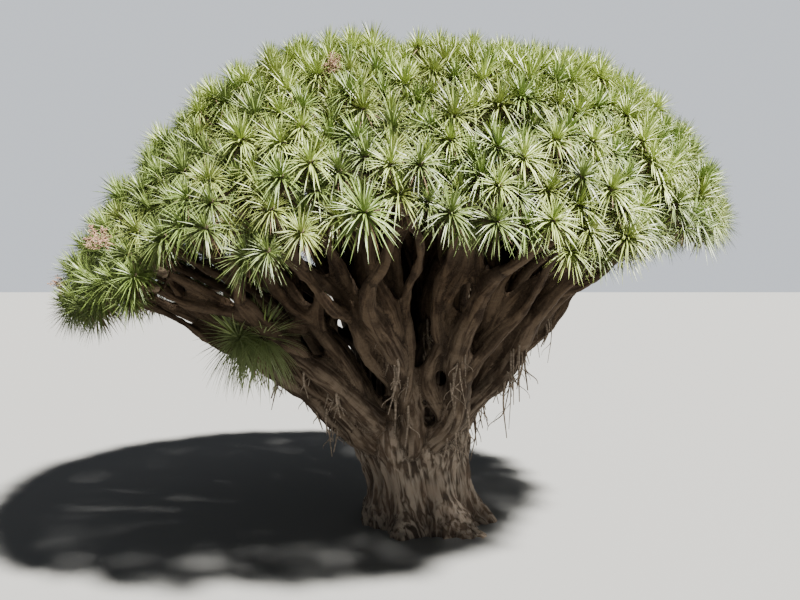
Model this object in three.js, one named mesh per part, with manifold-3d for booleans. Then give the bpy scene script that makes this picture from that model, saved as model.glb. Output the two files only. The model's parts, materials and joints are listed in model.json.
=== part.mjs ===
import * as THREE from "three";
import { mergeVertices } from "three/addons/utils/BufferGeometryUtils.js";
import Module from "manifold-3d";

// An old dragon tree: a short fluted trunk, a fan of thick sinuous boughs, and a dense
// umbrella of sword-leaf rosettes. Millimetres, +Z up. The origin is the middle of the flat
// cut under the trunk, at ground level. -Y faces the viewer and +X is to the right.

const wasm = await Module();
wasm.setup();

// Crown: the outline that the leaf tips reach
const TREE_HEIGHT = 7200;
const CROWN_CENTRE = new THREE.Vector3(-400, 0, 3600);
const CROWN_HALF_WIDTH = 4900;
const CROWN_HALF_DEPTH = 4700;
const CROWN_RISE = TREE_HEIGHT - CROWN_CENTRE.z;
const CROWN_FULLNESS = 2.03; // exponent of the outline: 2 is an ellipse, more is squarer
const CROWN_FULLNESS_RIGHT = 0.28; // the right shoulder is fuller than the left one
const RIM_HEIGHT = 4050; // lowest rosette hearts, halfway round
const RIM_TILT = 480; // how much higher they are on the right, and lower on the left

// Trunk: one radius for each height, and how deeply it is fluted there
const TRUNK_PROFILE = [
  { height: 0, radius: 950, flute: 0.1 },
  { height: 130, radius: 880, flute: 0.09 },
  { height: 320, radius: 795, flute: 0.066 },
  { height: 580, radius: 745, flute: 0.042 },
  { height: 880, radius: 765, flute: 0.036 },
  { height: 1180, radius: 840, flute: 0.036 },
  { height: 1450, radius: 890, flute: 0.036 },
  { height: 1660, radius: 810, flute: 0.03 },
  { height: 1820, radius: 610, flute: 0.024 },
  { height: 1920, radius: 340, flute: 0.012 },
];
const TRUNK_TOP = TRUNK_PROFILE[TRUNK_PROFILE.length - 1].height;
const TRUNK_LEAN = -330; // how far the head stands to the left of the foot
const TRUNK_CURVE = 0.8; // the lean starts low down
const TRUNK_SIDES = 30;
const FLUTES = [
  { count: 7, phase: 0.9, share: 1 }, // root buttresses
  { count: 11, phase: 2.1, share: 0.45 }, // folds between them
];
const SPUR = { angle: -48, reach: 260, narrowness: 14, fade: 170 }; // the longest root

// Boughs, by the tier of foliage that they carry. Those of the first three kinds leave the
// trunk's head; the others fork from a bough of another kind, some way along it.
const BOUGH_KINDS = {
  rim: { radius: 300, rings: 7, level: 980, outward: 330, leaving: 40, arriving: 32 },
  low: { radius: 300, rings: 7, level: 900, outward: 330, leaving: 40, arriving: 32 },
  upper: { radius: 260, rings: 7, level: 1280, outward: 150, leaving: 76, arriving: 66 },
  middle: { radius: 200, rings: 5, from: "rim", fork: 0.36, forkSpread: 0.2 },
  top: { radius: 200, rings: 5, from: "upper", fork: 0.5, forkSpread: 0 },
};
const LEAVING_SPREAD = 14; // degrees by which boughs differ as they leave and arrive
const ARRIVING_SPREAD = 16;
const LEAVING_PULL = 0.32; // share of a bough's run over which its first direction holds
const ARRIVING_PULL = 0.35;
const FORK_UPRIGHT = 0.45; // how far a fork turns from its parent's direction to upright
const BOUGH_TIP_RADIUS = 100;
const LIMB_TAPER = 0.8; // a limb thins slowly at first
const FOOT_SHARE = 0.66; // a bough ends at this share of the crown's reach
const BOUGH_SIDES = 7;

// Sway: how a limb wanders between its ends, in two waves each way
const SWAY = 140;
const FORK_SWAY = 76;
const SWAY_UPRIGHT = 0.7; // up and down, as a share of the sideways sway
const SWAY_FADE = 0.7;
const FINE_WAVE = 0.5;
const SIDE_WAVES = [5, 11];
const UPRIGHT_WAVES = [6, 12];

// Foliage masses, in tiers from the rim to the top. Elevations are seen from the crown's
// centre; foot is the elevation of the bough's tip, and rightward tilts a tier to the right.
const TIERS = [
  { name: "rim", count: 12, azimuth: -8, elevation: 12, foot: 3, rightward: 7.5 },
  { name: "middle", count: 9, azimuth: -28, elevation: 37, foot: 34, rightward: 3 },
  { name: "upper", count: 5, azimuth: 18, elevation: 62, foot: 62, rightward: 0 },
  { name: "top", count: 1, azimuth: 180, elevation: 87, foot: 87, rightward: 0 },
];
const AZIMUTH_SPREAD = 7;
const ELEVATION_SPREAD = 4;
const MASS_MIDDLE = 0.86; // share of the crown's reach
const LOW_TUFT = {
  azimuth: 216,
  elevation: 20,
  heart: new THREE.Vector3(-2430, -1530, 2880),
  rosettes: 3,
  spread: 260,
  tilt: -10,
  stem: 520,
};

// Rosettes: each stands for several real ones
const ROSETTE_PITCH = 790;
const ROSETTE_DARTS = 6000; // places tried on the crown
const LEAF_LENGTH = 600;
const LEAF_SPREAD = 0.1; // share by which leaf lengths vary
const LOW_LEAF_LENGTH = 648;
const LEAF_WANDER = 0.3; // how far leaves turn from their even places
const LEAF_DROOP = 0.2;
const LEAF_GIRTH = 0.3; // a leaf's mean half width, as a share of its heart's radius
const LEAF_LEAST = 1.3; // shortest leaf, as a share of its heart's radius
const HEART_RADIUS = 225;
const LOW_HEART_RADIUS = 105;
const HEART_SIDES = 5;
const HEART_BELT = 1 / Math.sqrt(5); // where an icosahedron's upper corners stand on its axis
const HEART_INSET = { nearest: 0.93, spread: 0.12, middle: 0.92 }; // shares of a leaf's length
const ROSETTE_UPRIGHT = 0.3; // how far rosettes turn from outward to upright

// Twigs: they fork from a mass's stem towards its rosettes
const STEM_LENGTH = 130; // straight start of the stem, on from its bough's tip
const TWIG_RADIUS = 42;
const TWIG_SWELL = 0.45; // exponent: a twig's radius grows with the rosettes it carries
const TWIG_SIDES = 3;
const TWIG_ROOT = 0.4; // a twig starts this share of its radius inside its parent
const FORK_SHARE = 0.5; // a twig forks this far along the way to its rosettes
const EARLY_FORK_SHARE = 0.3;
const EARLY_FORK_ROSETTES = 4; // a twig that carries more forks early

// Cores: the dense twiggy cushion that a mass's leaves stand out of, as depths under the leaf
// tips at shares of its spread
const CORE_EDGE = 870;
const CORE_RINGS = [
  { share: 0, depth: 680 },
  { share: 0.55, depth: 740 },
  { share: 1, depth: CORE_EDGE },
  { share: 0.9, depth: 1010 },
  { share: 0, depth: 1050 },
];
const CORE_DEEPEST = Math.max(...CORE_RINGS.map((ring) => ring.depth));
const CORE_SPREAD = 1250;
const CORE_LEAST = 200;
const CORE_STEP = 25;
const CORE_DROP = 120; // how far the rim's cores come below its lowest rosette hearts
const CORE_CORNERS = 8;

const SEAT_GAP = 0.35; // clearance where one limb meets another
const CORE_GAP = 60; // half the clearance between two cores
const SPACE_GAP = 6; // clearance between the spaces of two masses
const LIMB_GAP = 15; // clearance between a leaf and a limb of another mass

// Seeds of everything that varies
const SEEDS = { masses: 20260, rosettes: 20267, sway: 20260, aim: 20760, leaves: 21260 };
const SWAY_SEED_STEP = 31;

const UP = new THREE.Vector3(0, 0, 1);
const FULL_TURN = Math.PI * 2;
const radians = THREE.MathUtils.degToRad;

// A seeded sequence of numbers from 0 to 1.
function dice(seed) {
  const modulus = 2147483647;
  let state = (seed % modulus) + 1;
  return () => {
    state = (state * 48271) % modulus;
    return state / modulus;
  };
}

function direction(azimuth, elevation) {
  const a = radians(azimuth);
  const e = radians(elevation);
  return new THREE.Vector3(Math.cos(a) * Math.cos(e), Math.sin(a) * Math.cos(e), Math.sin(e));
}

function mean(points) {
  return points.reduce((sum, p) => sum.add(p), new THREE.Vector3()).divideScalar(points.length);
}

// Distance from the crown's centre to its leaf tips along a unit direction.
function crownReach(way) {
  const level = Math.hypot(way.x, way.y);
  const rightness = level > 0 ? way.x / level : 0;
  const power = CROWN_FULLNESS + CROWN_FULLNESS_RIGHT * rightness;
  const flat = Math.hypot(way.x / CROWN_HALF_WIDTH, way.y / CROWN_HALF_DEPTH);
  const tall = Math.abs(way.z) / CROWN_RISE;
  return Math.pow(flat ** power + tall ** power, -1 / power);
}

// How far a point lies under the leaf tips.
function crownDepth(point) {
  const offset = point.clone().sub(CROWN_CENTRE);
  return crownReach(offset.clone().normalize()) - offset.length();
}

// The point at a depth under the leaf tips, along a unit direction from the crown's centre.
function crownInside(way, depth) {
  return CROWN_CENTRE.clone().addScaledVector(way, crownReach(way) - depth);
}

function crownPoint(way, share) {
  return CROWN_CENTRE.clone().addScaledVector(way, crownReach(way) * share);
}

// Middle of the trunk at a height.
function trunkMiddle(height) {
  return new THREE.Vector3(TRUNK_LEAN * (height / TRUNK_TOP) ** TRUNK_CURVE, 0, height);
}

// Trunk radius at a height and an angle: the taper, with root buttresses and one long spur.
function trunkRadius({ height, radius, flute }, angle) {
  const lobes = FLUTES.map(({ count, phase, share }) => share * Math.cos(count * angle + phase));
  const facing = Math.max(0, Math.cos(angle - radians(SPUR.angle)));
  const spur = SPUR.reach * facing ** SPUR.narrowness * Math.exp(-height / SPUR.fade);
  return radius * (1 + flute * lobes.reduce((sum, lobe) => sum + lobe)) + spur;
}

// A closed solid, from corners as plain numbers and faces as corner numbers.
function solidFrom(corners, faces) {
  const mesh = {
    numProp: 3,
    vertProperties: new Float32Array(corners),
    triVerts: new Uint32Array(faces),
  };
  return new wasm.Manifold(new wasm.Mesh(mesh));
}

// A closed solid from rings of corners, with a flat cap at both ends.
function loft(rings) {
  const sides = rings[0].length;
  const corners = rings.flat().flatMap((p) => [p.x, p.y, p.z]);
  const faces = [];
  for (let i = 0; i + 1 < rings.length; i++)
    for (let j = 0; j < sides; j++) {
      const a = i * sides + j;
      const b = i * sides + ((j + 1) % sides);
      faces.push(a, b, b + sides, a, b + sides, a + sides);
    }
  const last = (rings.length - 1) * sides;
  for (let j = 1; j + 1 < sides; j++) {
    faces.push(0, j + 1, j);
    faces.push(last, last + j, last + j + 1);
  }
  return solidFrom(corners, faces);
}

// A closed solid from rings of corners, whose first and last rings are single points.
function spindle(rings) {
  const sides = rings[1].length;
  const corners = rings.flat().flatMap((p) => [p.x, p.y, p.z]);
  const at = (ring, step) => 1 + (ring - 1) * sides + (step % sides);
  const last = 1 + (rings.length - 2) * sides;
  const faces = [];
  for (let j = 0; j < sides; j++) {
    faces.push(0, at(1, j), at(1, j + 1));
    for (let i = 1; i + 2 < rings.length; i++) {
      faces.push(at(i, j), at(i + 1, j), at(i + 1, j + 1));
      faces.push(at(i, j), at(i + 1, j + 1), at(i, j + 1));
    }
    faces.push(last, at(rings.length - 2, j + 1), at(rings.length - 2, j));
  }
  return solidFrom(corners, faces);
}

function largest(solid) {
  return solid.decompose().reduce((best, s) => (s.volume() > best.volume() ? s : best));
}

function trunkSolid(grow = 0) {
  return loft(
    TRUNK_PROFILE.map((level) => {
      const middle = trunkMiddle(level.height);
      return Array.from({ length: TRUNK_SIDES }, (_, j) => {
        const angle = (j / TRUNK_SIDES) * FULL_TURN;
        const radius = trunkRadius(level, angle) + grow;
        const lift = level.height === TRUNK_TOP ? grow : 0;
        return new THREE.Vector3(
          middle.x + Math.cos(angle) * radius,
          middle.y + Math.sin(angle) * radius,
          level.height + lift,
        );
      });
    }),
  );
}

// A limb's centreline: a cubic with a seeded wander that is nothing at either end.
function limb({ start, rise, reach, end, radius, sway, seed }) {
  const roll = dice(seed);
  const curve = new THREE.CubicBezierCurve3(start, rise, reach, end);
  const along = end.clone().sub(start).normalize();
  const side = new THREE.Vector3().crossVectors(along, UP).normalize();
  const over = new THREE.Vector3().crossVectors(side, along).normalize();
  const phases = [roll(), roll(), roll(), roll()].map((x) => x * FULL_TURN);
  const wave = (t, [slow, fast], [first, second]) =>
    Math.sin(slow * t + first) + FINE_WAVE * Math.sin(fast * t + second);
  const pointAt = (t) => {
    const fade = Math.sin(Math.PI * t) ** SWAY_FADE * sway;
    const p = curve.getPoint(t);
    p.addScaledVector(side, fade * wave(t, SIDE_WAVES, phases.slice(0, 2)));
    return p.addScaledVector(over, fade * SWAY_UPRIGHT * wave(t, UPRIGHT_WAVES, phases.slice(2)));
  };
  const radiusAt = (t) => BOUGH_TIP_RADIUS + (radius - BOUGH_TIP_RADIUS) * (1 - t) ** LIMB_TAPER;
  return { pointAt, radiusAt, end };
}

function limbSolid(line, rings, sides, grow = 0) {
  const spine = Array.from({ length: rings + 1 }, (_, i) => line.pointAt(i / rings));
  const across = new THREE.Vector3();
  return loft(
    spine.map((point, i) => {
      const before = spine[Math.max(0, i - 1)];
      const after = spine[Math.min(rings, i + 1)];
      const along = after.clone().sub(before).normalize();
      if (i === 0) across.crossVectors(along, UP);
      across.addScaledVector(along, -across.dot(along)).normalize();
      const over = new THREE.Vector3().crossVectors(along, across);
      const radius = line.radiusAt(i / rings) + grow;
      return Array.from({ length: sides }, (_, j) => {
        const angle = (j / sides) * FULL_TURN;
        return point
          .clone()
          .addScaledVector(across, Math.cos(angle) * radius)
          .addScaledVector(over, Math.sin(angle) * radius);
      });
    }),
  );
}

// The places of the foliage masses, tier by tier, and the low tuft under the left side.
function foliageMasses() {
  const roll = dice(SEEDS.masses);
  const masses = [];
  for (const tier of TIERS)
    for (let i = 0; i < tier.count; i++) {
      const azimuth = tier.azimuth + (360 * i) / tier.count + (roll() - 0.5) * AZIMUTH_SPREAD;
      const tilt = tier.rightward * Math.cos(radians(azimuth));
      const lift = tilt + (roll() - 0.5) * ELEVATION_SPREAD;
      const way = direction(azimuth, tier.elevation + lift);
      const footWay = direction(azimuth, tier.foot + lift);
      const number = String(i + 1).padStart(2, "0");
      masses.push({
        name: tier.count > 1 ? `${tier.name}_${number}` : tier.name,
        tier: tier.name,
        azimuth,
        way,
        middle: crownPoint(way, MASS_MIDDLE),
        foot: crownPoint(footWay, FOOT_SHARE),
        rosettes: [],
      });
    }
  const way = direction(LOW_TUFT.azimuth, LOW_TUFT.elevation);
  masses.push({
    name: "low",
    tier: "low",
    azimuth: LOW_TUFT.azimuth,
    way,
    middle: LOW_TUFT.heart,
    foot: LOW_TUFT.heart.clone().addScaledVector(way, -LOW_TUFT.stem),
    rosettes: [],
  });
  return masses;
}

// A bough that leaves the trunk's head and ends under its mass.
function trunkBough(mass, i) {
  const kind = BOUGH_KINDS[mass.tier];
  const roll = dice(SEEDS.aim + i);
  const outward = direction(mass.azimuth, 0);
  const start = trunkMiddle(kind.level).addScaledVector(outward, kind.outward);
  const run = start.distanceTo(mass.foot);
  const leaving = direction(mass.azimuth, kind.leaving + LEAVING_SPREAD * roll());
  const arriving = direction(mass.azimuth, kind.arriving + ARRIVING_SPREAD * roll());
  return limb({
    start,
    rise: start.clone().addScaledVector(leaving, run * LEAVING_PULL),
    reach: mass.foot.clone().addScaledVector(arriving, -run * ARRIVING_PULL),
    end: mass.foot,
    radius: kind.radius,
    sway: SWAY,
    seed: SEEDS.sway + SWAY_SEED_STEP * i,
  });
}

// A bough that forks from the nearest bough of another kind.
function forkBough(mass, i, carriers) {
  const kind = BOUGH_KINDS[mass.tier];
  const parent = carriers
    .filter((bough) => bough.mass.tier === kind.from)
    .reduce((best, b) => (b.end.distanceTo(mass.foot) < best.end.distanceTo(mass.foot) ? b : best));
  const fork = kind.fork + kind.forkSpread * dice(SEEDS.aim + i)();
  const start = parent.pointAt(fork);
  const run = start.distanceTo(mass.foot);
  const leaving = parent.pointAt(fork + 0.05).sub(start).normalize().lerp(UP, FORK_UPRIGHT).normalize();
  const arriving = mass.foot.clone().sub(trunkMiddle(TRUNK_TOP)).normalize();
  return limb({
    start,
    rise: start.clone().addScaledVector(leaving, run * ARRIVING_PULL),
    reach: mass.foot.clone().addScaledVector(arriving, -run * ARRIVING_PULL),
    end: mass.foot,
    radius: kind.radius,
    sway: FORK_SWAY,
    seed: SEEDS.sway + SWAY_SEED_STEP * i,
  });
}

// All boughs, those that leave the trunk first.
function growBoughs(masses) {
  const grown = (mass, line) => ({ ...line, mass, rings: BOUGH_KINDS[mass.tier].rings });
  const fromTrunk = (mass) => !BOUGH_KINDS[mass.tier].from;
  const carriers = masses.flatMap((mass, i) => (fromTrunk(mass) ? [grown(mass, trunkBough(mass, i))] : []));
  const forks = masses.flatMap((mass, i) =>
    fromTrunk(mass) ? [] : [grown(mass, forkBough(mass, i, carriers))],
  );
  return [...carriers, ...forks];
}

// Rosette hearts: one in the middle of each crown mass, then seeded darts on the crown's shell
// that keep a pitch apart, each given to the nearest mass, and a cluster for the low tuft.
function sproutRosettes(masses) {
  const roll = dice(SEEDS.rosettes);
  const hearts = [];
  const add = (mass, heart, radius, axis, leaf) => {
    const rosette = { mass, heart, radius, axis, leaf, turn: roll() * 360 };
    hearts.push(rosette);
    mass.rosettes.push(rosette);
  };
  const low = masses.find((mass) => mass.tier === "low");
  for (let i = 0; i < LOW_TUFT.rosettes; i++) {
    const side = direction(LOW_TUFT.azimuth + (360 * i) / LOW_TUFT.rosettes, LOW_TUFT.tilt);
    const heart = LOW_TUFT.heart.clone().addScaledVector(side, LOW_TUFT.spread);
    const axis = low.way.clone().lerp(side, 0.5).normalize();
    add(low, heart, LOW_HEART_RADIUS, axis, LOW_LEAF_LENGTH);
  }
  const crown = masses.filter((mass) => mass !== low);
  const addToCrown = (mass, heart) => {
    const outward = heart.clone().sub(CROWN_CENTRE).normalize();
    add(mass, heart, HEART_RADIUS, outward.lerp(UP, ROSETTE_UPRIGHT).normalize(), LEAF_LENGTH);
  };
  for (const mass of crown) addToCrown(mass, crownInside(mass.way, LEAF_LENGTH * HEART_INSET.middle));
  for (let tries = 0; tries < ROSETTE_DARTS; tries++) {
    const azimuth = roll() * 360;
    const lift = -0.2 + 1.2 * roll();
    const way = direction(azimuth, THREE.MathUtils.radToDeg(Math.asin(lift)));
    const inset = LEAF_LENGTH * (HEART_INSET.nearest + HEART_INSET.spread * roll());
    const heart = crownInside(way, inset);
    const lowest = RIM_HEIGHT + RIM_TILT * Math.cos(radians(azimuth));
    if (heart.z < lowest) continue;
    if (hearts.some((other) => other.heart.distanceTo(heart) < ROSETTE_PITCH)) continue;
    addToCrown(nearest(crown, heart), heart);
  }
  return hearts;
}

function nearest(masses, point) {
  return masses.reduce((best, mass) =>
    mass.middle.distanceTo(point) < best.middle.distanceTo(point) ? mass : best,
  );
}

// Twigs: from the bough's tip, a twig forks towards its rosettes until each has its own.
function growTwigs(mass) {
  const twigs = [];
  const grow = (from, rosettes) => {
    const radius = TWIG_RADIUS * rosettes.length ** TWIG_SWELL;
    if (rosettes.length === 1) {
      twigs.push({ from, to: rosettes[0].heart, radius });
      return;
    }
    const middle = mean(rosettes.map((r) => r.heart));
    const share = rosettes.length > EARLY_FORK_ROSETTES ? EARLY_FORK_SHARE : FORK_SHARE;
    const to = from.clone().lerp(middle, share);
    twigs.push({ from, to, radius });
    for (const part of split(rosettes)) grow(to, part);
  };
  const seat = mass.foot.clone().addScaledVector(mass.leaving, SEAT_GAP);
  const neck = seat.clone().addScaledVector(mass.leaving, STEM_LENGTH);
  twigs.push({ from: seat, to: neck, radius: BOUGH_TIP_RADIUS });
  grow(neck, mass.rosettes);
  return twigs;
}

// Two groups, round the two rosettes that stand furthest apart.
function split(rosettes) {
  let pair = [rosettes[0], rosettes[1]];
  for (const a of rosettes)
    for (const b of rosettes)
      if (a.heart.distanceTo(b.heart) > pair[0].heart.distanceTo(pair[1].heart)) pair = [a, b];
  const joins = (r) => r.heart.distanceTo(pair[0].heart) < r.heart.distanceTo(pair[1].heart);
  return [rosettes.filter(joins), rosettes.filter((r) => !joins(r))];
}

function twigSolid({ from, to, radius }, overlap) {
  const along = to.clone().sub(from).normalize();
  const start = from.clone().addScaledVector(along, -overlap);
  const line = { pointAt: (t) => start.clone().lerp(to, t), radiusAt: () => radius };
  return limbSolid(line, 1, TWIG_SIDES);
}

// Least distance between two straight stretches.
function stretchGap(a, b, c, d) {
  const u = b.clone().sub(a);
  const v = d.clone().sub(c);
  const w = a.clone().sub(c);
  const uu = u.dot(u);
  const uv = u.dot(v);
  const vv = v.dot(v);
  const uw = u.dot(w);
  const vw = v.dot(w);
  const det = uu * vv - uv * uv;
  let s = det > 1e-9 ? THREE.MathUtils.clamp((uv * vw - vv * uw) / det, 0, 1) : 0;
  const t = THREE.MathUtils.clamp((uv * s + vw) / vv, 0, 1);
  s = THREE.MathUtils.clamp((uv * t - uw) / uu, 0, 1);
  return a.clone().addScaledVector(u, s).distanceTo(c.clone().addScaledVector(v, t));
}

// How far a point of one mass is from the plane halfway to another mass.
function spare(point, mass, other) {
  const apart = other.middle.clone().sub(mass.middle);
  return apart.length() / 2 - point.clone().sub(mass.middle).dot(apart.normalize());
}

// Directions, from the crown's centre, to the corners of a mass's core, each as wide as its
// neighbours and the crown's rim allow.
function coreCorners(mass, masses) {
  const east = new THREE.Vector3().crossVectors(UP, mass.way).normalize();
  const north = new THREE.Vector3().crossVectors(mass.way, east);
  const lowest = RIM_HEIGHT + RIM_TILT * mass.way.x - CORE_DROP;
  const clear = (point) =>
    point.z > lowest && masses.every((other) => other === mass || spare(point, mass, other) > CORE_GAP);
  return Array.from({ length: CORE_CORNERS }, (_, k) => {
    const angle = ((k + 0.5) / CORE_CORNERS) * FULL_TURN;
    const side = east.clone().multiplyScalar(Math.cos(angle)).addScaledVector(north, Math.sin(angle));
    const wayTo = (spread) =>
      mass.middle.clone().addScaledVector(side, spread).sub(CROWN_CENTRE).normalize();
    const fits = (way) => clear(crownInside(way, CORE_EDGE)) && clear(crownInside(way, CORE_DEEPEST));
    let spread = CORE_SPREAD;
    while (spread > CORE_LEAST && !fits(wayTo(spread))) spread -= CORE_STEP;
    return wayTo(spread);
  });
}

// The dense cushion of a mass, domed like the crown, that its leaves stand out of.
function coreSolid(mass, masses) {
  const corners = coreCorners(mass, masses);
  return spindle(
    CORE_RINGS.map(({ share, depth }) =>
      (share === 0 ? [mass.way] : corners).map((corner) =>
        crownInside(mass.way.clone().lerp(corner, share).normalize(), depth),
      ),
    ),
  );
}

// A leaf's length, shortened where it would leave its rosette's share of the space.
function leafReach(rosette, way, length, hearts) {
  let reach = length;
  for (const other of hearts) {
    if (other === rosette) continue;
    const apart = other.heart.clone().sub(rosette.heart);
    const gap = apart.length();
    const towards = way.dot(apart) / gap;
    if (towards > 0) reach = Math.min(reach, (gap / 2 - SPACE_GAP) / towards);
  }
  return reach;
}

// The heart's corners about its middle, and its faces: those that carry leaves, and its base.
function heartShape(rosette) {
  const { axis, radius, turn } = rosette;
  const across = new THREE.Vector3().crossVectors(axis, new THREE.Vector3(0.31, 0.87, 0.38)).normalize();
  across.applyAxisAngle(axis, radians(turn));
  const over = new THREE.Vector3().crossVectors(axis, across);
  const corner = (step, level) => {
    const angle = (step / HEART_SIDES) * FULL_TURN;
    const round = Math.sqrt(Math.max(0, 1 - level * level));
    return new THREE.Vector3()
      .addScaledVector(across, Math.cos(angle) * round)
      .addScaledVector(over, Math.sin(angle) * round)
      .addScaledVector(axis, level)
      .multiplyScalar(radius);
  };
  const corners = [corner(0, 1), corner(0, -1)];
  for (let k = 0; k < HEART_SIDES; k++) corners.push(corner(k, HEART_BELT), corner(k + 0.5, -HEART_BELT));
  const upper = (k) => 2 + 2 * (k % HEART_SIDES);
  const lower = (k) => 3 + 2 * (k % HEART_SIDES);
  const leafy = [];
  const base = [];
  for (let k = 0; k < HEART_SIDES; k++) {
    leafy.push([0, upper(k), upper(k + 1)]);
    leafy.push([upper(k), lower(k), upper(k + 1)]);
    leafy.push([lower(k), lower(k + 1), upper(k + 1)]);
    base.push([1, lower(k + 1), lower(k)]);
  }
  return { corners, leafy, base };
}

// A rosette: a heart, on each of whose faces but the lowest ones stands a pointed leaf.
function rosetteSolid(rosette, hearts, obstacles, ownSpace, roll) {
  const { heart, radius, leaf, mass } = rosette;
  const { corners, leafy, base } = heartShape(rosette);
  const berth = LIMB_GAP + radius * LEAF_GIRTH;
  const points = [...corners];
  const faces = [...base];
  for (const face of leafy) {
    const way = mean(face.map((i) => corners[i])).normalize();
    const wander = new THREE.Vector3(roll() - 0.5, roll() - 0.5, roll() - 0.5 - LEAF_DROOP);
    way.addScaledVector(wander, LEAF_WANDER).normalize();
    const reach = leafReach(rosette, way, leaf * (1 + LEAF_SPREAD * (2 * roll() - 1)), hearts);
    const root = heart.clone().addScaledVector(way, radius);
    const end = heart.clone().addScaledVector(way, reach);
    const strays = crownDepth(end) > CORE_RINGS[0].depth - 2 * LIMB_GAP && !ownSpace(end, mass);
    const touches = obstacles.some((o) => stretchGap(root, end, o.from, o.to) < o.radius + berth);
    if (reach < LEAF_LEAST * radius || strays || touches) {
      faces.push(face);
      continue;
    }
    const tip = points.push(way.multiplyScalar(reach)) - 1;
    for (let i = 0; i < 3; i++) faces.push([face[i], face[(i + 1) % 3], tip]);
  }
  const placed = points.map((p) => p.clone().add(heart));
  return solidFrom(placed.flatMap((p) => [p.x, p.y, p.z]), faces.flat());
}

// One mass: its stem, twigs, core and rosettes, fused.
function massSolid(mass, masses, limbs, hearts) {
  const roll = dice(SEEDS.leaves + masses.indexOf(mass));
  const crown = masses.filter((other) => other.tier !== "low");
  const isLow = mass.tier === "low";
  const ownSpace = (point) => isLow || nearest(crown, point) === mass;
  const otherTwigs = masses.filter((other) => other !== mass).flatMap((other) => other.twigs);
  const obstacles = [...limbStretches(limbs), ...otherTwigs];
  const [stem, ...twigs] = mass.twigs;
  let solid = twigSolid(stem, 0);
  for (const twig of twigs) solid = solid.add(twigSolid(twig, twig.radius * TWIG_ROOT));
  if (!isLow) solid = solid.add(coreSolid(mass, crown));
  for (const rosette of mass.rosettes)
    solid = solid.add(rosetteSolid(rosette, hearts, obstacles, ownSpace, roll));
  return solid;
}

// The boughs as straight stretches, each as thick as its thicker end.
function limbStretches(limbs) {
  return limbs.flatMap(({ pointAt, radiusAt, rings }) =>
    Array.from({ length: rings }, (_, i) => ({
      from: pointAt(i / rings),
      to: pointAt((i + 1) / rings),
      radius: radiusAt(i / rings),
    })),
  );
}

const MATERIALS = {
  trunk: new THREE.MeshStandardMaterial({ color: 0x6b5a4a, roughness: 0.95 }),
  bough: new THREE.MeshStandardMaterial({ color: 0x85725f, roughness: 0.9 }),
  leaf: new THREE.MeshStandardMaterial({ color: 0x8fa56c, roughness: 0.5 }),
};

function meshOf(name, solid, material) {
  const { vertProperties, triVerts } = solid.getMesh();
  const geometry = new THREE.BufferGeometry();
  geometry.setAttribute("position", new THREE.BufferAttribute(new Float32Array(vertProperties), 3));
  geometry.setIndex(new THREE.BufferAttribute(new Uint32Array(triVerts), 1));
  const mesh = new THREE.Mesh(mergeVertices(geometry, 1e-3), material);
  mesh.name = name;
  return mesh;
}

function dragonTree() {
  const tree = new THREE.Group();
  const masses = foliageMasses();
  const limbs = growBoughs(masses);
  const hearts = sproutRosettes(masses);

  tree.add(meshOf("trunk", trunkSolid(), MATERIALS.trunk));
  let wood = trunkSolid(SEAT_GAP * 1.2);
  for (const bough of limbs) {
    const solid = largest(limbSolid(bough, bough.rings, BOUGH_SIDES).subtract(wood));
    tree.add(meshOf(`bough_${bough.mass.name}`, solid, MATERIALS.bough));
    wood = wood.add(limbSolid(bough, bough.rings, BOUGH_SIDES, SEAT_GAP));
    const before = bough.pointAt(1 - 1 / bough.rings);
    bough.mass.leaving = bough.end.clone().sub(before).normalize();
  }

  for (const mass of masses) mass.twigs = growTwigs(mass);
  for (const mass of masses)
    tree.add(meshOf(`foliage_${mass.name}`, massSolid(mass, masses, limbs, hearts), MATERIALS.leaf));
  return tree;
}

export default dragonTree();
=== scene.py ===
import itertools
import json
import math

import bmesh
import bpy
import numpy as np
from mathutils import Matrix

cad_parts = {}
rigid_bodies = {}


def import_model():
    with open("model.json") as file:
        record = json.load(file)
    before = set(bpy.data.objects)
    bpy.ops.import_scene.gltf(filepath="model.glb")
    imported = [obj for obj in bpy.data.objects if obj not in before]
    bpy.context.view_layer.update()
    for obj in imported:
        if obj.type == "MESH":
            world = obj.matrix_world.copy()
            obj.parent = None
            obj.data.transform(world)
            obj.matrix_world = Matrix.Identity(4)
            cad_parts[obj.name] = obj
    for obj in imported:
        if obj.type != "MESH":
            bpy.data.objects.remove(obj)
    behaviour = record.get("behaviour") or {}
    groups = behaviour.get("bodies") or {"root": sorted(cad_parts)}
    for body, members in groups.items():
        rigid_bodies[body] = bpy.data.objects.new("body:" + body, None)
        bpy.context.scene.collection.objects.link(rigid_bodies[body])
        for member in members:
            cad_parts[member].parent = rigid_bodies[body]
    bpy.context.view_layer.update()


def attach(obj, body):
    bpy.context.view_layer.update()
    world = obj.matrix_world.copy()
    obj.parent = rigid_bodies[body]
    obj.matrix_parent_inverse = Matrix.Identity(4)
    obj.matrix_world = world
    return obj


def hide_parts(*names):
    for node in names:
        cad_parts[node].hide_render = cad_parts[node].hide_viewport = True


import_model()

# An old dragon tree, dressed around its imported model. Metres, +Z up, the viewer on the -Y side.
# Limbs and foliage follow the rule of the tree's solids, carried on to finer branches and twigs.

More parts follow.
